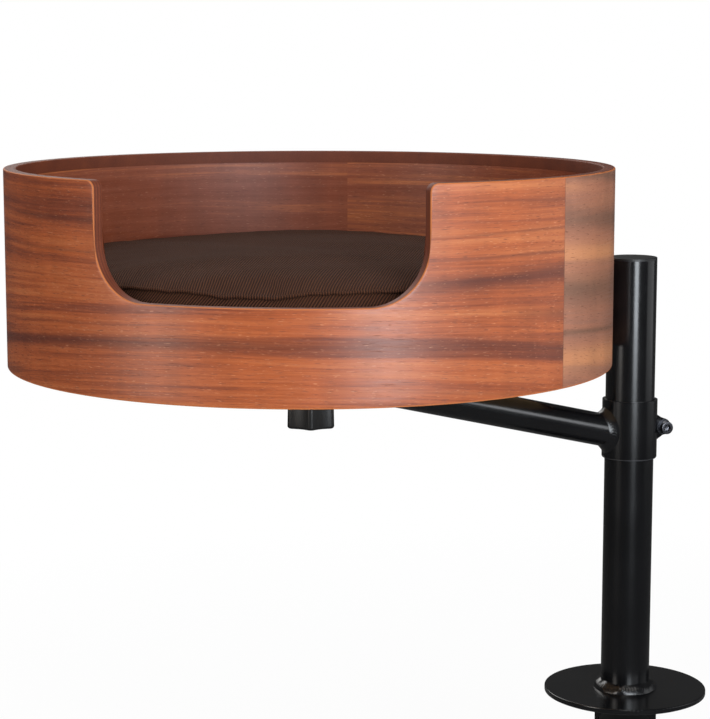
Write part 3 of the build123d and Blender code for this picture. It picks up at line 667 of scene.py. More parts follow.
# Name of each finish's material, what paints it, and its shader's plain values
FINISHES = {
    "powder_coat": ("gloss_black_powder_coat", powder_coat, {}),
    "black_plastic": ("moulded_black_nylon", black_plastic, {"Roughness": 0.42}),
    "nylon": ("rubbed_black_nylon_sheet", liner_nylon, {"Roughness": 0.5}),
    "rubber": ("pressed_rubber_sheet", rubber, {"Roughness": 0.85}),
    "zinc_steel": ("zinc_plated_steel", zinc_plate, {"Metallic": 1.0}),
    "black_oxide": ("black_oxide_steel", black_oxide, {"Metallic": 1.0}),
    "zip_metal": ("antique_nickel_casting", zip_metal, {"Metallic": 1.0}),
    "foam": ("open_cell_foam", foam, {"Roughness": 0.95}),
    "birch_plywood": ("bare_birch_plywood", birch_ply, {"Roughness": 0.6}),
    "veneer_outside": ("oiled_walnut_veneer", walnut_veneer, {"Roughness": 0.4}),
    "veneer_inside": ("oiled_walnut_veneer_inside_painted_shade", walnut_veneer_inside_painted_shade, {"Roughness": 0.4}),
    "ply_edge": ("stained_plywood_edge", ply_edge, {"Roughness": 0.6, "Specular_IOR_Level": 0.3}),
    "cushion_cloth": ("brown_rib_cloth", rib_cloth, {"Roughness": 0.95, "Specular_IOR_Level": 0.12}),
    "zip_tape": ("woven_zip_tape", zip_tape_cloth, {"Roughness": 0.7, "Sheen_Weight": 0.2}),
    "thread": ("brown_sewing_thread", thread_cotton, {"Roughness": 0.75, "Sheen_Weight": 0.3}),
}
_made = {}


def finish(name):
    """The material of a finish, made when it is first asked for."""
    if name not in _made:
        label, paint, plain = FINISHES[name]
        _made[name], tree, shader, here = start(label, **plain)
        feed(shader, **paint(tree, here))
    return _made[name]


# CAD nodes whose shape is right as it is
KEPT_NODES = {
    "powder_coat": ("base_plate", "pole_tube", "clamp_bracket", "clamp_foot", "arm_collar", "arm_tube",
                    "bed_plate", "bolt_sleeve"),
    "black_plastic": ("pole_cap", "arm_end_cap"),
    "nylon": ("collar_liner", "swivel_pad"),
    "rubber": ("desk_pad", "clamp_foot_pad"),
    "zinc_steel": ("tee_nut", "knob_washer"),
    "black_oxide": ("lock_washer",),
    "birch_plywood": ("bed_floor",),
}


class CATBED_OT_cad_finishes(bpy.types.Operator):
    """Give each CAD node that is shown as it is its real finish"""

    bl_idname = "cat_bed.cad_finishes"
    bl_label = "Finish the CAD parts"

    def execute(self, context):
        for name, nodes in KEPT_NODES.items():
            for node in nodes:
                slots = NODES[node].data.materials
                for i in range(len(slots)):
                    slots[i] = finish(name)
                if not slots:
                    slots.append(finish(name))
        return {"FINISHED"}


class CATBED_OT_shell(bpy.types.Operator):
    """Bend the veneered plywood wall, with its entrance cut in and its edges sanded round"""

    bl_idname = "cat_bed.shell"
    bl_label = "Bed wall"

    def entrance_line(self):
        """Upper edge of the wall, unrolled: place round the wall from the middle of the entrance, and
        height. It runs level along the sill, round the lower corner, up the side, round the upper corner
        and along the rim, and the other half is its mirror image."""
        size = sizes()
        side = size.entrance_half * SHELL_RADIUS
        sill, top = size.entrance_sill, SHELL_HIGH - SHELL_LOW
        low, high = size.entrance_low, size.entrance_high
        sweep = np.linspace(0, 1, 22)[:, None]
        arc = np.hstack([np.sin(sweep * math.pi / 2), -np.cos(sweep * math.pi / 2)])
        back = np.array([math.pi * SHELL_RADIUS - side - high, 0.0])
        half = np.vstack([
            (0.0, sill) + sweep[:-1] * np.array([side - low, 0.0]),
            (side - low, sill + low) + low * arc,
            (side, sill + low) + sweep[1:-1:3] * np.array([0.0, top - high - sill - low]),
            (side + high, top - high) + high * arc[:, ::-1],
            (side + high, top) + np.linspace(0, 1, 110)[1:, None] * back,
        ])
        return np.vstack([half[::-1] * (-1, 1), half[1:]])[1:]

    def execute(self, context):
        size = sizes()
        rim = self.entrance_line()
        step = np.roll(rim, -1, 0) - np.roll(rim, 1, 0)
        step[[0, -1]] = (1, 0)
        step /= np.linalg.norm(step, axis=1, keepdims=True)
        into = step[:, ::-1] * (1, -1)
        # Foot of each upright line: it shares out the sides of the entrance along the lower edge.
        near = np.abs(rim[:, 0]) <= size.entrance_half * SHELL_RADIUS + 30 * MM
        walk = np.concatenate([[0], np.cumsum(np.linalg.norm(np.diff(rim, axis=0), axis=1))])
        walk = np.abs(walk - walk[np.argmin(np.abs(rim[:, 0]))])
        spread = np.sign(rim[:, 0]) * walk / walk[near].max() * np.abs(rim[near, 0]).max()
        foot = np.where(near, spread, rim[:, 0])
        curve = size.edge_round
        inner, outer = FLOOR_RADIUS, SHELL_RADIUS
        bend = np.linspace(0, math.pi / 2, 5)
        rise = np.linspace(0, 1, 18)

        def sanded(share, angles, radius, way):
            """Rows round one edge of the board."""
            return [(share, curve * (1 - math.sin(a)), radius + way * curve * (1 - math.cos(a)), 1)
                    for a in angles]

        # Each row: share of the way from foot to rim, distance from the edge into the board, radius, group
        rows = [(share, curve, outer, 0) for share in rise]
        rows += sanded(1.0, bend[1:], outer, -1) + sanded(1.0, bend[::-1], inner, 1)
        rows += [(share, curve, inner, 2) for share in rise[-2::-1]]
        rows += sanded(0.0, bend[1:], inner, 1) + sanded(0.0, bend[:0:-1], outer, -1)
        share, inset, radius, group = (np.array(column)[:, None] for column in zip(*rows))
        along = foot * (1 - share) + (rim[:, 0] + into[:, 0] * inset) * share
        height = inset * (1 - share) + (rim[:, 1] + into[:, 1] * inset) * share
        points = about_bed(ENTRANCE_AZIMUTH + along / SHELL_RADIUS, radius, SHELL_LOW + height)
        count = len(rim)
        quads = grid_quads(len(rows), count, True)
        corner_uv = np.stack([along.ravel()[quads], height.ravel()[quads]], -1)
        lap = TURN * SHELL_RADIUS
        torn = np.ptp(corner_uv[..., 0], axis=1) > lap / 2
        corner_uv[torn, :, 0] += lap * (corner_uv[torn, :, 0] < 0)
        wall = new_piece("veneered_wall", points, quads, "bed", "veneer_outside ply_edge veneer_inside",
                         "bed_shell", corner_uv, np.repeat(group[:, 0], count), sharp=60)
        depth = wall.data.attributes.new("depth", "FLOAT", "POINT")
        depth.data.foreach_set("value", np.repeat(outer - radius[:, 0], count).astype(np.float32))
        return {"FINISHED"}


class CATBED_OT_weld_beads(bpy.types.Operator):
    """Lay the weld beads at the pole's foot, the arm, the bed plate, the lock nut and the clamp"""

    bl_idname = "cat_bed.weld_beads"
    bl_label = "Weld beads"

    def execute(self, context):
        self.pole_foot()
        self.arm_saddle()
        self.plate_runs()
        self.lock_ring()
        self.bracket_run()
        return {"FINISHED"}

    def pole_foot(self):
        """Ring of weld in the corner of pole and plate: toe and foot circles one leg away from it."""
        turn = even_turns(640)
        ring = np.stack([np.cos(turn), np.sin(turn), 0 * turn], 1)
        up = np.array([0, 0, 1.0])
        leg = (6.3 + 0.35 * np.sin(5 * turn + 0.6) + 0.25 * np.sin(8 * turn + 2.0))[:, None] * MM
        corner = ring * (POLE_RADIUS - SINK) + up * (PLATE_TOP - SINK)
        toe = ring * (POLE_RADIUS - SINK) + up * (PLATE_TOP + leg)
        foot = ring * (POLE_RADIUS + leg) + up * (PLATE_TOP - SINK)

        def lumps(t):
            return 0.55 * MM * np.maximum(np.sin(7 * t + 0.9) * np.sin(3 * t + 0.4), 0) ** 0.8

        bead("pole_weld_bead", toe, foot, corner, 0.35, "stand", "pole_weld", ripple=0.22 * MM, lumps=lumps)

    def arm_saddle(self):
        """Seam where the arm's tube meets the collar. A point on the tube at angle a lies on the collar
        when its level distance from the pole's axis is the collar's radius, which gives its place along
        the tube. The toe lies one leg further along the tube, and the foot one leg out on the collar."""
        slope, start_z, leg = math.radians(12.9), 207.7 * MM, 5.0 * MM
        a = even_turns(400)[:, None]
        ahead = np.array([math.cos(slope), 0, math.sin(slope)])
        spoke = np.hstack([-math.sin(slope) * np.sin(a), np.cos(a), math.cos(slope) * np.sin(a)])
        reach = np.sqrt(COLLAR_RADIUS**2 - (ARM_RADIUS * np.cos(a)) ** 2)
        reach = (reach + ARM_RADIUS * np.sin(a) * math.sin(slope)) / math.cos(slope)
        seam = np.array([0, 0, start_z]) + reach * ahead + ARM_RADIUS * spoke
        foot = seam + leg * spoke
        foot[:, :2] *= COLLAR_RADIUS / np.linalg.norm(foot[:, :2], axis=1, keepdims=True)
        lines = map(at_arm, (seam + leg * ahead, foot, seam - SINK * spoke))
        bead("arm_weld_bead", *lines, -0.25, "arm", "arm_weld", ripple=0.14 * MM)

    def tapered(self, count):
        """Places from -1 to 1 along a straight bead, and its share of full size, which falls at the ends."""
        run = np.linspace(-1, 1, count)[:, None]
        return run, np.sqrt(np.clip(1 - run**8, 0.02, 1))

    def plate_runs(self):
        """Two straight beads along the top of the arm, under the bed plate; both ends taper. The toe lies
        on the tube, 52 degrees from its top."""
        base = span("bed_plate", 2)[0]
        run, taper = self.tapered(150)
        plate_middle, half_run = 254.0 * MM, 16.5 * MM
        along = plate_middle + run * half_run
        toe_angle = math.radians(90 - 52)
        toe_y, toe_z = ARM_RADIUS * math.cos(toe_angle), base - ARM_RADIUS * (1 - math.sin(toe_angle))
        one = np.ones_like(run)
        for name, side in (("left", 1), ("right", -1)):
            corner = np.hstack([along, side * 4.0 * MM * one, (base - 0.3 * MM) * one])
            toe = corner + (np.hstack([along, side * toe_y * one, toe_z * one]) - corner) * taper
            foot = np.hstack([along, side * (4.5 + 7.5 * taper) * MM, base * one])
            lines = map(at_arm, (toe, foot, corner))
            bead("plate_weld_bead_" + name, *lines, 0.1, "arm", "plate_weld", closed=False)

    def lock_ring(self):
        """Bead round the lock nut's foot on the rear lug. Its foot is a circle, and its toe stands as high
        on the nut as the circle is away from the hexagon there."""
        turn = even_turns(260)
        nut = hexagon(turn, LOCK_NUT_FLATS)
        out = 6.25 * MM

        def line(r, z):
            return at_lock(np.stack([r * np.cos(turn), r * np.sin(turn), z + 0 * turn], 1))

        toe = line(nut - SINK, -LUG_FACE - (out - nut))
        foot = line(out, -LUG_FACE)
        corner = line(nut - SINK, -LUG_FACE + SINK)
        bead("lock_weld_bead", toe, foot, corner, 0.1, "arm", "lock_weld", ripple=0.06 * MM)

    def bracket_run(self):
        """Straight bead behind the clamp bracket, under the base plate; both ends taper."""
        low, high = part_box("bracket_weld")
        run, taper = self.tapered(130)
        x = run * (high.x - low.x) / 2
        one = np.ones_like(run)
        corner = np.hstack([x, (low.y - SINK) * one, (high.z + 0.02 * MM) * one])
        toe = np.hstack([x, low.y * one, high.z - (high.z - low.z) * taper])
        foot = np.hstack([x, low.y + (high.y - low.y) * taper, high.z * one])
        bead("bracket_weld_bead", toe, foot, corner, 0.3, "stand", "bracket_weld", closed=False)


class CATBED_OT_lock(bpy.types.Operator):
    """Make the lock nut on the collar's rear lug and the socket screw that draws the lugs together"""

    bl_idname = "cat_bed.lock"
    bl_label = "Lock nut and screw"

    def execute(self, context):
        nut_height, washer, head_height, tail = 5.0 * MM, 1.2 * MM, 6.0 * MM, 2.0 * MM
        back = -LUG_FACE - nut_height
        points, faces = turned(nut_rows(LOCK_NUT_FLATS, 3.25 * MM, back, -LUG_FACE, 96), 96, True)
        new_piece("lock_hexagon_nut", at_lock(points), faces, "arm", "powder_coat", "lock_nut")
        head = LUG_FACE + washer
        count = 160
        turn = even_turns(count)
        knurl = 5.0 - 0.12 * (0.5 + 0.5 * np.cos(36 * turn))
        socket = hexagon(turn, 5.0)
        # From the socket's floor over the rim and down the knurled side to the head's underside
        rows = profile(
            [(socket * 0.4, -3.6), (socket, -3.2), (socket, -0.25), (socket + 0.25, 0.0), (4.4, 0.0),
             (4.66, -0.08), (4.86, -0.3), (knurl, -0.6), (knurl, -5.6), (4.84, -5.98), (3.1, -5.98)],
            head + head_height,
        )
        rows += thread(3.0 * MM, 0.55 * MM, 1.0 * MM, back - tail, head, count)[::-1]
        points, faces = turned(rows, count)
        new_piece("socket_cap_screw", at_lock(points), faces, "lock_screw", "black_oxide", "lock_screw")
        return {"FINISHED"}


class CATBED_OT_knob(bpy.types.Operator):
    """Mould the lobed knob under the bed and cut the thread of its stud"""

    bl_idname = "cat_bed.knob"
    bl_label = "Bed knob"

    def execute(self, context):
        count, lobe = 192, math.radians(39.7)
        grip = scooped(even_turns(count) - lobe, 19.5 * MM, 6, 28.0 * MM, 3.2 * MM, 0.3 * MM)
        dish = [(0.3, 1.0), (8.6, 1.0), (9.2, 0.9), (9.7, 0.45), (10.0, 0.1), (10.5, 0.0)]
        rows = profile(dish, KNOB_LOW)
        rows += moulded(grip, 0.35 * MM, 2.2 * MM, 0.8 * MM, KNOB_LOW, KNOB_HIGH, 7)
        rows += profile([(11.5, 0.0), (4.0, 0.0), (4.0, -11.0)], KNOB_HIGH)
        points, faces = turned(rows, count)
        new_piece("lobed_knob", points + BOLT_FOOT, faces, "knob", "black_plastic", "bed_knob")
        rows = thread(4.0 * MM, 0.65 * MM, 1.25 * MM, *span("knob_stud", 2), 48)
        points, faces = turned(rows, 48)
        new_piece("knob_threaded_stud", points + BOLT_FOOT, faces, "knob", "zinc_steel", "knob_stud")
        return {"FINISHED"}


class CATBED_OT_clamp(bpy.types.Operator):
    """Make the desk clamp's spindle, hand wheel and nut"""

    bl_idname = "cat_bed.clamp"
    bl_label = "Desk clamp"

    def execute(self, context):
        low, high = span("clamp_screw", 2)
        shoulder = high - 7.0 * MM
        rows = thread(5.0 * MM, 0.85 * MM, 1.5 * MM, low, shoulder, 48)
        rows += profile([(3.5, 0.0), (3.5, 6.2), (3.3, 6.6), (2.7, 7.0)], shoulder)
        points, faces = turned(rows, 48)
        new_piece("clamp_spindle", points + CLAMP_FOOT, faces, "clamp_screw", "zinc_steel", "clamp_screw")
        low, high = span("clamp_wheel", 2)
        count, edge = 196, 1.6 * MM
        grip = scooped(even_turns(count), 24 * MM, 7, 9 * MM, 3 * MM, 0.6 * MM)
        rows = profile([(2.0, 2.0), (13.0, 2.0), (14.0, 1.7), (15.0, 0.1), (15.5, 0.0)], low)
        rows += moulded(grip, 0.3 * MM, edge, edge, low, high, 6)
        rows += profile([(9.0, 0.0), (8.6, -0.1), (5.0, -0.1), (5.0, -14.0)], high)
        points, faces = turned(rows, count)
        new_piece("clamp_hand_wheel", points + CLAMP_FOOT, faces, "clamp_screw", "black_plastic", "clamp_wheel")
        points, faces = turned(nut_rows(17 * MM, 5.25 * MM, *span("clamp_nut", 2), 96), 96, True)
        new_piece("clamp_hexagon_nut", points + CLAMP_FOOT, faces, "stand", "powder_coat", "clamp_nut")
        return {"FINISHED"}


def band_radius(height):
    """Radius of the cushion's side band at a height above its underside: an arc through both seams that
    bulges by the draw-in at half height."""
    half, draw = sizes().band_height / 2, sizes().band_draw_in
    arc = (half**2 + draw**2) / (2 * draw)
    return CUSHION_RADIUS - arc + np.sqrt(arc**2 - (height - half) ** 2)


def on_band(along, height, out):
    """Points on the side band: angle about the bed's axis, height above the cushion's underside, and
    distance out from the band."""
    along, height, out = np.broadcast_arrays(along, height, out)
    return about_bed(along, band_radius(height) + 0.1 * MM + out, CUSHION_LOW + height)


class CATBED_OT_cushion(bpy.types.Operator):
    """Sew and stuff the round cushion: foam, boxed cover and its welted seams"""

    bl_idname = "cat_bed.cushion"
    bl_label = "Cushion"

    def execute(self, context):
        self.foam_block()
        cover, low_loop, top_loop = self.sewn_case()
        self.stuff(context, cover)
        self.drape(cover)
        self.welt("cushion_low_welt", self.places(cover)[low_loop], 1.3 * MM)
        self.welt("cushion_top_welt", self.places(cover)[top_loop], 0.8 * MM)
        return {"FINISHED"}

    def foam_block(self):
        """Foam filling: a lathe form whose section is a superellipse with a low crown on top."""
        high, wide = sizes().band_height - 5 * MM, band_radius(0.0) - 9 * MM
        turn = np.linspace(-0.5, 0.5, 61)[1:-1] * math.pi
        radius = wide * np.abs(np.cos(turn)) ** 0.16
        level = np.sign(turn) * np.abs(np.sin(turn)) ** 0.16
        crown = 9 * MM * (1 - (radius / wide) ** 2)
        height = 4 * MM + high / 2 * (1 + level) + np.where(level > 0, crown, 0)
        points, faces = turned(zip(radius, height), 128)
        filling = new_piece("cushion_filling", points + CUSHION_FOOT, faces, "cushion", "foam", "cushion_foam",
                            sharp=80)

    def sewn_case(self):
        """Cover as it is sewn, with an even mesh: two discs, each a square grid whose square rings are bent
        into circles, and a band between their borders. The rib pattern runs across the discs and on a
        slant up the band. Also gives the two border loops."""
        cells, rows, lean = 64, 12, math.radians(32)
        side = np.linspace(-1, 1, cells + 1)
        a, b = np.meshgrid(side, side, indexing="ij")
        wide = np.abs(a) > np.abs(b)
        ring = np.where(wide, a, b)
        ratio = np.where(wide, b, a) / np.where(ring == 0, 1, ring)
        angle = np.where(wide, ratio * math.pi / 4, math.pi / 2 - ratio * math.pi / 4)
        disc = np.stack([ring * np.cos(angle), ring * np.sin(angle)], -1).reshape(-1, 2)
        number = np.arange((cells + 1) ** 2).reshape(cells + 1, cells + 1)
        border = np.concatenate([number[-1, :-1], number[:0:-1, -1], number[0, :0:-1], number[:-1, 0]])
        seam_r, band = band_radius(0.0), sizes().band_height
        crown = CUSHION_HIGH - CUSHION_LOW - band
        far = np.linalg.norm(disc, axis=1)
        low = np.column_stack([disc * seam_r, np.zeros(len(disc))])
        top = np.column_stack([disc * seam_r, band + crown * (1 - np.minimum(far, 1) ** 2.6)])
        level = np.linspace(0, band, rows + 1)[1:-1, None]
        count = len(border)
        wall = np.concatenate([band_radius(level)[:, None] * (disc[border] / far[border, None]),
                               np.broadcast_to(level[:, None], (rows - 1, count, 1))], -1).reshape(-1, 3)
        points = np.vstack([low, top, wall]) + CUSHION_FOOT
        under = grid_quads(cells + 1, cells + 1, False, False)
        over = under[:, ::-1]
        inner = 2 * len(low) + np.arange((rows - 1) * count).reshape(rows - 1, count)
        ladder = np.vstack([border, inner, border + len(low)])
        after = np.roll(ladder, -1, 1)
        around = np.stack([ladder[:-1], after[:-1], after[1:], ladder[1:]], -1).reshape(-1, 4)
        faces = np.vstack([under, over + len(low), around])
        # Places in the cloth: discs as they lie, the band unrolled and turned by its slant
        step, up = TURN * seam_r / count, band / rows
        i, j = np.meshgrid(np.arange(rows), np.arange(count) * step, indexing="ij")
        corner = np.stack([np.stack([j + right * step, (i + above) * up], -1)
                           for right, above in ((0, 0), (1, 0), (1, 1), (0, 1))], -2).reshape(-1, 4, 2)
        slant = np.array([[math.cos(lean), math.sin(lean)], [-math.sin(lean), math.cos(lean)]])
        cloth = np.vstack([low[under][..., :2], low[over][..., :2], corner @ slant])
        cover = new_piece("cushion_case", points, faces, "cushion", "cushion_cloth", "cushion_cover",
                          corner_uv=cloth, sharp=180)
        return cover, border, border + len(low)

    def stuff(self, context, cover):
        """Blow the cover up as cloth with its stuffing's pressure, cap its moves, and subdivide it."""
        frames, pressure, most = 20, 4, 5 * MM
        rest = self.places(cover)
        cloth = cover.modifiers.new("stuffing", "CLOTH")
        cloth.settings.use_pressure = True
        cloth.settings.uniform_pressure_force = pressure
        cloth.settings.effector_weights.gravity = 0
        for step in range(1, frames + 1):
            context.scene.frame_set(step)
        self.bake(context, cover)
        context.scene.frame_set(1)
        moved = self.places(cover) - rest
        far = np.linalg.norm(moved, axis=1, keepdims=True)
        self.place(cover, rest + moved * np.minimum(1, most / np.maximum(far, 1e-9)))
        finer = cover.modifiers.new("finer", "SUBSURF")
        finer.levels = finer.render_levels = 1
        self.bake(context, cover)

    def bake(self, context, ob):
        """Put the evaluated mesh in place of the object's own and clear its modifiers."""
        graph = context.evaluated_depsgraph_get()
        mesh = bpy.data.meshes.new_from_object(ob.evaluated_get(graph), depsgraph=graph)
        ob.modifiers.clear()
        ob.data = mesh
        context.view_layer.update()

    def places(self, ob):
        flat = np.zeros(len(ob.data.vertices) * 3)
        ob.data.vertices.foreach_get("co", flat)
        return flat.reshape(-1, 3)

    def place(self, ob, points):
        ob.data.vertices.foreach_set("co", points.ravel())
        ob.data.update()

    def drape(self, cover):
        """Shape what sewing and use do to the stuffed cover. Each seam draws the cloth in by a bell curve
        of the distance from it, with gathers about 17 mm apart. On top, folds fade away from the seam, a
        shallow hollow is worn in the middle, and slow waves cross it. The underside stays flat, and the
        band keeps inside the zip."""
        band, seam_r = sizes().band_height, band_radius(0.0)
        x, y, z = (self.places(cover) - CUSHION_FOOT).T
        r, angle = np.hypot(x, y), np.arctan2(y, x)
        gather = np.sin(74 * angle + 2 * np.sin(5 * angle))
        slow = np.sin(31 * angle + 1.0)
        for seam_z in (0.0, band):
            far = np.hypot(r - seam_r, z - seam_z)
            r = r - (1.1 + 0.5 * gather) * MM * np.exp(-((far / (5 * MM)) ** 2))
        far = np.hypot(r - seam_r, z - band)
        over = np.clip((z - 0.8 * band) / (0.15 * band), 0, 1)
        folds = slow * (np.exp(-far / (28 * MM)) - np.exp(-far / (9 * MM)))
        z = z + over * MM * (0.45 * gather * np.exp(-far / (11 * MM)) + 0.8 * folds)
        z = z - 1.0 * MM * over * np.exp(-far / (14 * MM))
        hollow = 3.4 * np.exp(-(((x - 0.015) / 0.13) ** 2 + ((y + 0.005) / 0.1) ** 2))
        waves = 1.5 * np.sin(34 * x + 1.3 * np.sin(27 * y)) * np.sin(29 * y + 0.7)
        inner = np.clip((seam_r - r) / (35 * MM), 0, 1) * (z > band)
        z = z + inner * MM * (waves - hollow)
        z = np.clip(z, 0.2 * MM, CUSHION_HIGH - CUSHION_LOW + 3 * MM)
        r = np.where(z < band, np.minimum(r, band_radius(np.clip(z, 0, band))), r)
        self.place(cover, np.stack([r * np.cos(angle), r * np.sin(angle), z], 1) + CUSHION_FOOT)

    def welt(self, name, loop, lift):
        """Folded ridge of cloth that stands on a seam: a flattened tube round the seam's own loop, whose
        thickness wavers with the gathers."""
        count, sides = 900, 10
        x, y, z = (loop - CUSHION_FOOT).T
        order = np.argsort(np.arctan2(y, x))
        at = np.arctan2(y, x)[order]
        angle, turn = even_turns(count), even_turns(sides)[:, None]
        r, z = (np.interp(angle, at, value[order], period=TURN) for value in (np.hypot(x, y), z))
        gather = np.sin(148 * angle + 2 * np.sin(5 * angle)) + 0.4 * np.sin(331 * angle)
        thick = (1.3 + 0.1 * gather) * MM
        out = r + 0.7 * MM + 1.1 * thick * np.cos(turn)
        up = z + lift + thick * np.sin(turn)
        points = about_bed(angle, out, CUSHION_LOW + np.maximum(up, 0.1 * MM))
        quads = grid_quads(sides, count, True)
        u = np.broadcast_to(angle * CUSHION_RADIUS, out.shape).ravel()[quads]
        u = np.where((np.ptp(u, axis=1)[:, None] > 0.5) & (u < 0.5), u + TURN * CUSHION_RADIUS, u)
        v = np.broadcast_to(turn * 1.2 * MM, out.shape).ravel()[quads]
        new_piece(name, points, quads, "cushion", "cushion_cloth", corner_uv=np.stack([u, v], -1), sharp=180)


class CATBED_OT_zip(bpy.types.Operator):
    """Sew in the zip at the back of the cushion: tape, teeth, stops, slider and pull"""

    bl_idname = "cat_bed.zip"
    bl_label = "Zip"

    def execute(self, context):
        first, last = math.radians(40), math.radians(140)
        self.tape(first, last)
        # Teeth: wedges 0.94 mm wide at the root and narrower on top, from both sides in turn
        start_a, end_a = first + math.radians(2), last - math.radians(2)
        places = np.linspace(start_a, end_a, int((end_a - start_a) * CUSHION_RADIUS / sizes().tooth_pitch))
        shift = (places[1] - places[0]) / 2
        upper = (self.block(0.47, -0.7, 3.0, 0.9, 0.7), places[:-1] + shift / 2, 0.0)
        lower = (self.block(0.47, -3.0, 0.7, 0.9, 0.7), places[:-1] + 1.5 * shift, 0.0)
        self.blocks("zip_teeth", [upper, lower], 0.78 * MM, "black_plastic")
        # Stitches: two rows that hold the tape to the band
        rows = np.linspace(first + 0.01, last - 0.01, 104)
        stitch = self.block(1.15, -0.22, 0.22, 0.3, 0.6)
        seams = [(stitch, rows, up * MM) for up in (-8.6, 8.6)]
        self.blocks("zip_stitches", seams, 0.72 * MM, "thread", slot="cushion_cloth")
        # Stops: a small clip past each end of the teeth
        ends = np.array([start_a - math.radians(0.3), end_a + math.radians(0.3)])
        clips = [(self.block(0.9, -4.4, 4.4, 1.0, 0.82), ends, 0.0)]
        self.blocks("zip_end_stops", clips, 0.8 * MM, "zip_metal", "zip_stops")
        self.slider()
        self.pull()
        return {"FINISHED"}

    def tape(self, first, last):
        """Thin slab 22 mm wide, with 9 points across its face and 9 across its back."""
        count, each = 181, 9
        across = np.linspace(-11, 11, each)[:, None] * MM
        height = sizes().zip_middle + np.vstack([across, across[::-1]])
        out = np.vstack([0 * across + 0.8 * MM, 0 * across])
        out[[0, each - 1]] = 0.55 * MM
        along, height = np.broadcast_arrays(np.linspace(first, last, count), height)
        tape = new_piece("zip_woven_tape", on_band(along, height, out), tube_faces(2 * each, count), "cushion",
                         "zip_tape", "zip_tape")
        flat = np.stack([along * CUSHION_RADIUS, height], -1).reshape(-1, 2)
        corners = np.zeros(len(tape.data.loops), np.int32)
        tape.data.loops.foreach_get("vertex_index", corners)
        tape.data.uv_layers.new(name="cloth_or_grain").data.foreach_set("uv", flat[corners].ravel())

    def block(self, half, low, high, rise, draft):
        """Corners of a block, from millimetres: half its length along the band, its heights, its rise out
        from the band, and the share of its foot that its top keeps."""
        inset = (high - low) * (1 - draft) / 2
        foot = [(-half, low, 0), (half, low, 0), (half, high, 0), (-half, high, 0)]
        top = [(a * draft, h + (inset if h == low else -inset), rise) for a, h, _ in foot]
        return np.array(foot + top) * MM

    def blocks(self, name, rows, out, look, stands_for="", slot=""):
        """One piece from rows of small blocks at places round the band. Each row gives the block, its
        places and its height above the teeth."""
        sides = np.array([(0, 3, 2, 1), (4, 5, 6, 7), (0, 1, 5, 4), (1, 2, 6, 5), (2, 3, 7, 6), (3, 0, 4, 7)])
        points = np.vstack([
            on_band(at[:, None] + solid[:, 0] / CUSHION_RADIUS, sizes().zip_middle + up + solid[:, 1],
                    out + solid[:, 2]).reshape(-1, 3)
            for solid, at, up in rows
        ])
        corners = len(rows[0][0])
        every = np.arange(0, len(points), corners)[:, None, None] + sides
        new_piece(name, points, every.reshape(-1, 4), "cushion", look, stands_for, sharp=20)

    def azimuth(self):
        """Angle about the bed's axis at which the slider stands."""
        place = middle("zip_slider") - BED
        return math.atan2(place[1], place[0])

    def slider(self):
        """Slider plate: a superellipsoid, flat and square with round edges, wider towards its mouth, with
        a bridge bent over it: a tube along half an ellipse."""
        at, out = self.azimuth(), 1.85 * MM
        rows, count = 24, 56
        u = np.linspace(-math.pi / 2, math.pi / 2, rows + 2)[1:-1, None]
        w = even_turns(count)

        def power(value, n):
            return np.sign(value) * np.abs(value) ** n

        def on_zip(x, y, z):
            """Points from millimetres along, up and out at the slider."""
            points = on_band(at + x * MM / CUSHION_RADIUS, sizes().zip_middle + y * MM, out + z * MM)
            return points.reshape(-1, 3)

        half_length, half_mouth, flare = 5.4, 3.6, 0.9
        x = half_length * power(np.cos(u), 0.35) * power(np.cos(w), 0.5)
        y = power(np.cos(u), 0.35) * power(np.sin(w), 0.5)
        y = y * (half_mouth + flare * np.clip(x / half_length, -1, 1))
        plate = on_zip(x, y, 0.75 + 0.75 * power(np.sin(u), 0.6))
        faces = grid_quads(rows, count).tolist()
        faces += [list(range(count))[::-1], [(rows - 1) * count + k for k in range(count)]]
        bow, ring, thick = np.linspace(0, math.pi, 24), even_turns(10)[:, None], 0.45
        bridge = on_zip(
            (4.2 + thick * np.cos(ring)) * np.cos(bow),
            0.9 * np.sin(ring),
            1.1 + (1.35 + thick * np.cos(ring)) * np.sin(bow),
        )
        faces += [[k + len(plate) for k in f] for f in tube_faces(10, 24)]
        new_piece("zip_slider_body", np.vstack([plate, bridge]), faces, "zip_slider", "zip_metal", "zip_slider",
                  sharp=50)

    def pull(self):
        """Pull tab: its outline is the soft minimum of its four sides as seen from its hole."""
        count, soft, endless = 96, 0.5, 1e3
        turn = even_turns(count)
        # Distance of each side from the hole's centre in millimetres, and its direction in half turns
        sides = [(3.0, 0.0), (3.0, 0.5), (3.0, 1.0), (12.0, 1.5)]
        facing = np.array([np.cos(turn - angle * math.pi) for _, angle in sides])
        far = np.array([[distance] for distance, _ in sides])
        reach = np.where(facing > 0.05, far / np.maximum(facing, 0.05), endless)
        edge = -soft * np.log(np.exp(-reach / soft).sum(0))
        hole = 1.5
        rows = [(hole, 0.15), (hole + 0.15, 0.0), (edge - 0.2, 0.0), (edge, 0.2), (edge, 0.6),
                (edge - 0.2, 0.8), (hole + 0.15, 0.8), (hole, 0.65)]
        points, faces = turned(profile(rows, 0.0), count, True)
        at, top = self.azimuth(), span("zip_pull", 2)[1]
        out = np.hypot(*(middle("zip_pull") - BED)[:2]) - 0.4 * MM
        points = carried(points, about_bed(at, out, top - 3.0 * MM), (math.cos(at), math.sin(at), 0),
                         (-math.sin(at), math.cos(at), 0))
        new_piece("zip_pull_tab", points, faces, "zip_slider", "zip_metal", "zip_pull")


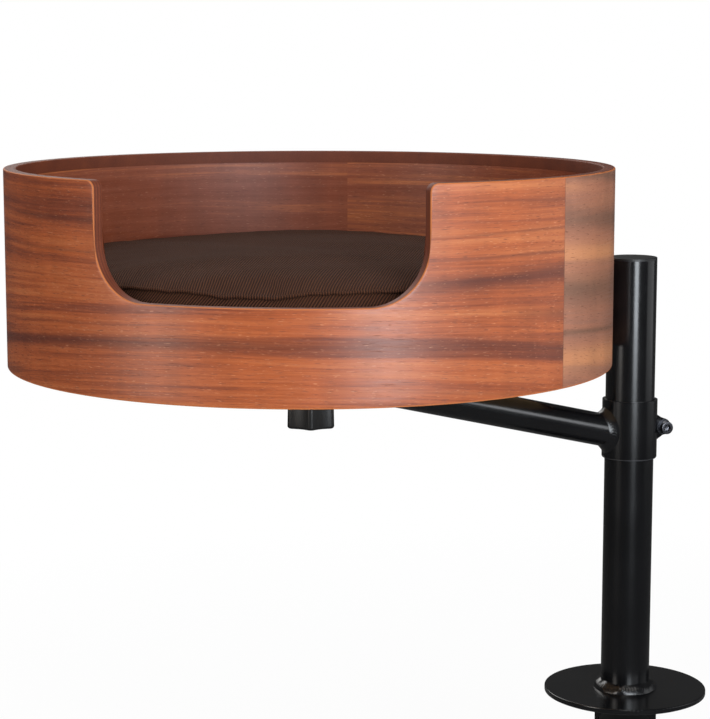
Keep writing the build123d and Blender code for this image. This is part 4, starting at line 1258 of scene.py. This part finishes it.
# Lamps: name, place, target, width, height, power in watts, tint. The window is a tall panel at the right
# front, whose mirror image stands on the pole and the wall.
LAMPS = (
    ("window", (0.50, -1.20, 0.72), (-0.05, 0.0, 0.72), 0.40, 1.30, 21.0, (0.88, 0.94, 1.0)),
    ("strip", (1.30, -1.15, 0.68), (-0.12, -0.06, 0.24), 1.20, 0.45, 8.0, (0.93, 0.96, 1.0)),
    ("overhead", (-0.30, -0.55, 2.30), (-0.15, -0.05, 0.20), 1.6, 1.1, 20.0, (1.0, 0.97, 0.93)),
    ("rear", (-1.35, 1.75, 1.60), (-0.15, 0.0, 0.20), 2.0, 1.1, 22.0, (1.0, 0.99, 0.97)),
    ("fill", (-1.55, -1.45, 0.78), (-0.20, -0.10, 0.78), 0.6, 1.5, 18.0, (1.0, 0.95, 0.90)),
    ("side", (2.00, 0.35, 0.72), (0.0, -0.05, 0.72), 1.6, 1.6, 8.0, (0.96, 0.98, 1.0)),
)


class CATBED_OT_stage(bpy.types.Operator):
    """Lay the pale floor and set the studio lights, the world and the camera"""

    bl_idname = "cat_bed.stage"
    bl_label = "Stage"

    def execute(self, context):
        scene = context.scene
        scene.view_settings.view_transform = "Standard"
        self.floor(scene)
        self.world(scene)
        for lamp in LAMPS:
            self.lamp(scene, *lamp)
        camera = bpy.data.objects.new("camera", bpy.data.cameras.new("camera"))
        scene.collection.objects.link(camera)
        camera.location = (0.0325, -1.6644, 0.5095)
        camera.rotation_euler = (math.pi / 2 - 0.1457, 0.0, math.radians(8.52))
        camera.data.lens, camera.data.sensor_width = 107.4, 36.0
        scene.camera = camera
        return {"FINISHED"}

    def lamp(self, scene, name, place, target, width, height, power, tint):
        light = bpy.data.lights.new(name, "AREA")
        light.shape, light.size, light.size_y = "RECTANGLE", width, height
        light.energy, light.color = power, tint
        ob = bpy.data.objects.new(name, light)
        scene.collection.objects.link(ob)
        ob.location = place
        ob.rotation_euler = (Vector(target) - Vector(place)).to_track_quat("-Z", "Y").to_euler()
        ob.visible_camera = False

    def floor(self, scene):
        """Level grid 14 m across, below the clamp at its lowest, white to the camera but for a share that
        keeps the object's shadow."""
        half, cells, level = 7, 15, -0.156
        at = np.linspace(-half, half, cells)
        x, y = np.meshgrid(at, at, indexing="ij")
        points = np.stack([x, y, np.full_like(x, level)], -1).reshape(-1, 3)
        mesh = bpy.data.meshes.new("floor")
        mesh.from_pydata(points.tolist(), [], grid_quads(cells, cells, False, False)[:, ::-1].tolist())
        ob = bpy.data.objects.new("floor", mesh)
        scene.collection.objects.link(ob)
        made, tree, shader, here = start("white_paper_floor", Base_Color=linear("e9e9e9"), Roughness=0.8)
        fleck = add(tree, "TexNoise", here, 300.0, 2.0)
        feed(shader, Normal=add(tree, "Bump", Height=fleck, Strength=0.1, Distance=0.1 * MM))
        share = add(tree, "MapRange", add(tree, "VectorMath LENGTH", here), 0.4, 1.3, 0.9, 1.0)
        seen, pale = self.backdrop(tree, "Emission")
        mixed = add(tree, "MixShader", add(tree, "Math MULTIPLY", seen, share), shader, pale)
        feed(tree.nodes["Material Output"], Surface=mixed)
        mesh.materials.append(made)

    def backdrop(self, tree, kind):
        """White of the background, and where it is seen: by rays from the camera, through glass and off a
        mirror. A mirror ray sees it dim, as the gloss paint in the photographer's room did."""
        path = add(tree, "LightPath").outputs
        direct = add(tree, "Math MAXIMUM", path["Is Camera Ray"], path["Is Transmission Ray"])
        seen = add(tree, "Math MAXIMUM", direct, path["Is Glossy Ray"])
        strength = add(tree, "MapRange", direct, 0.0, 1.0, 0.08, 1.0)
        return seen, add(tree, kind, linear("ffffff"), strength)

    def world(self, scene):
        """Plain grey light from all round, white to the camera."""
        world = bpy.data.worlds.new("studio")
        scene.world = world
        world.use_nodes = True
        tree = world.node_tree
        room = tree.nodes["Background"]
        feed(room, linear("d8dade"), 0.30)
        seen, white = self.backdrop(tree, "Background")
        feed(tree.nodes["World Output"], Surface=add(tree, "MixShader", seen, room, white))


class CATBED_PT_panel(bpy.types.Panel):
    """Steps of the desk cat bed, in order, and its sizes and colours"""

    bl_label = "Desk cat bed"
    bl_idname = "CATBED_PT_panel"
    bl_space_type = "VIEW_3D"
    bl_region_type = "UI"
    bl_category = "Cat bed"

    def draw(self, context):
        for step in STEPS:
            self.layout.operator(step.bl_idname)
        for group in (context.scene.cat_bed_sizes, context.scene.cat_bed_colours):
            box = self.layout.box()
            for name in group.bl_rna.properties.keys():
                if name not in ("rna_type", "name"):
                    box.prop(group, name)


STEPS = (
    CATBED_OT_stage,
    CATBED_OT_cad_finishes,
    CATBED_OT_shell,
    CATBED_OT_cushion,
    CATBED_OT_zip,
    CATBED_OT_weld_beads,
    CATBED_OT_lock,
    CATBED_OT_knob,
    CATBED_OT_clamp,
)
CLASSES = (CatBedSizes, CatBedColours, *STEPS, CATBED_PT_panel)


def register():
    for c in CLASSES:
        bpy.utils.register_class(c)
    bpy.types.Scene.cat_bed_sizes = bpy.props.PointerProperty(type=CatBedSizes)
    bpy.types.Scene.cat_bed_colours = bpy.props.PointerProperty(type=CatBedColours)


def unregister():
    del bpy.types.Scene.cat_bed_colours
    del bpy.types.Scene.cat_bed_sizes
    for c in reversed(CLASSES):
        bpy.utils.unregister_class(c)


def main():
    register()
    for step in STEPS:
        group, name = step.bl_idname.split(".")
        getattr(getattr(bpy.ops, group), name)()


if __name__ == "__main__":
    main()
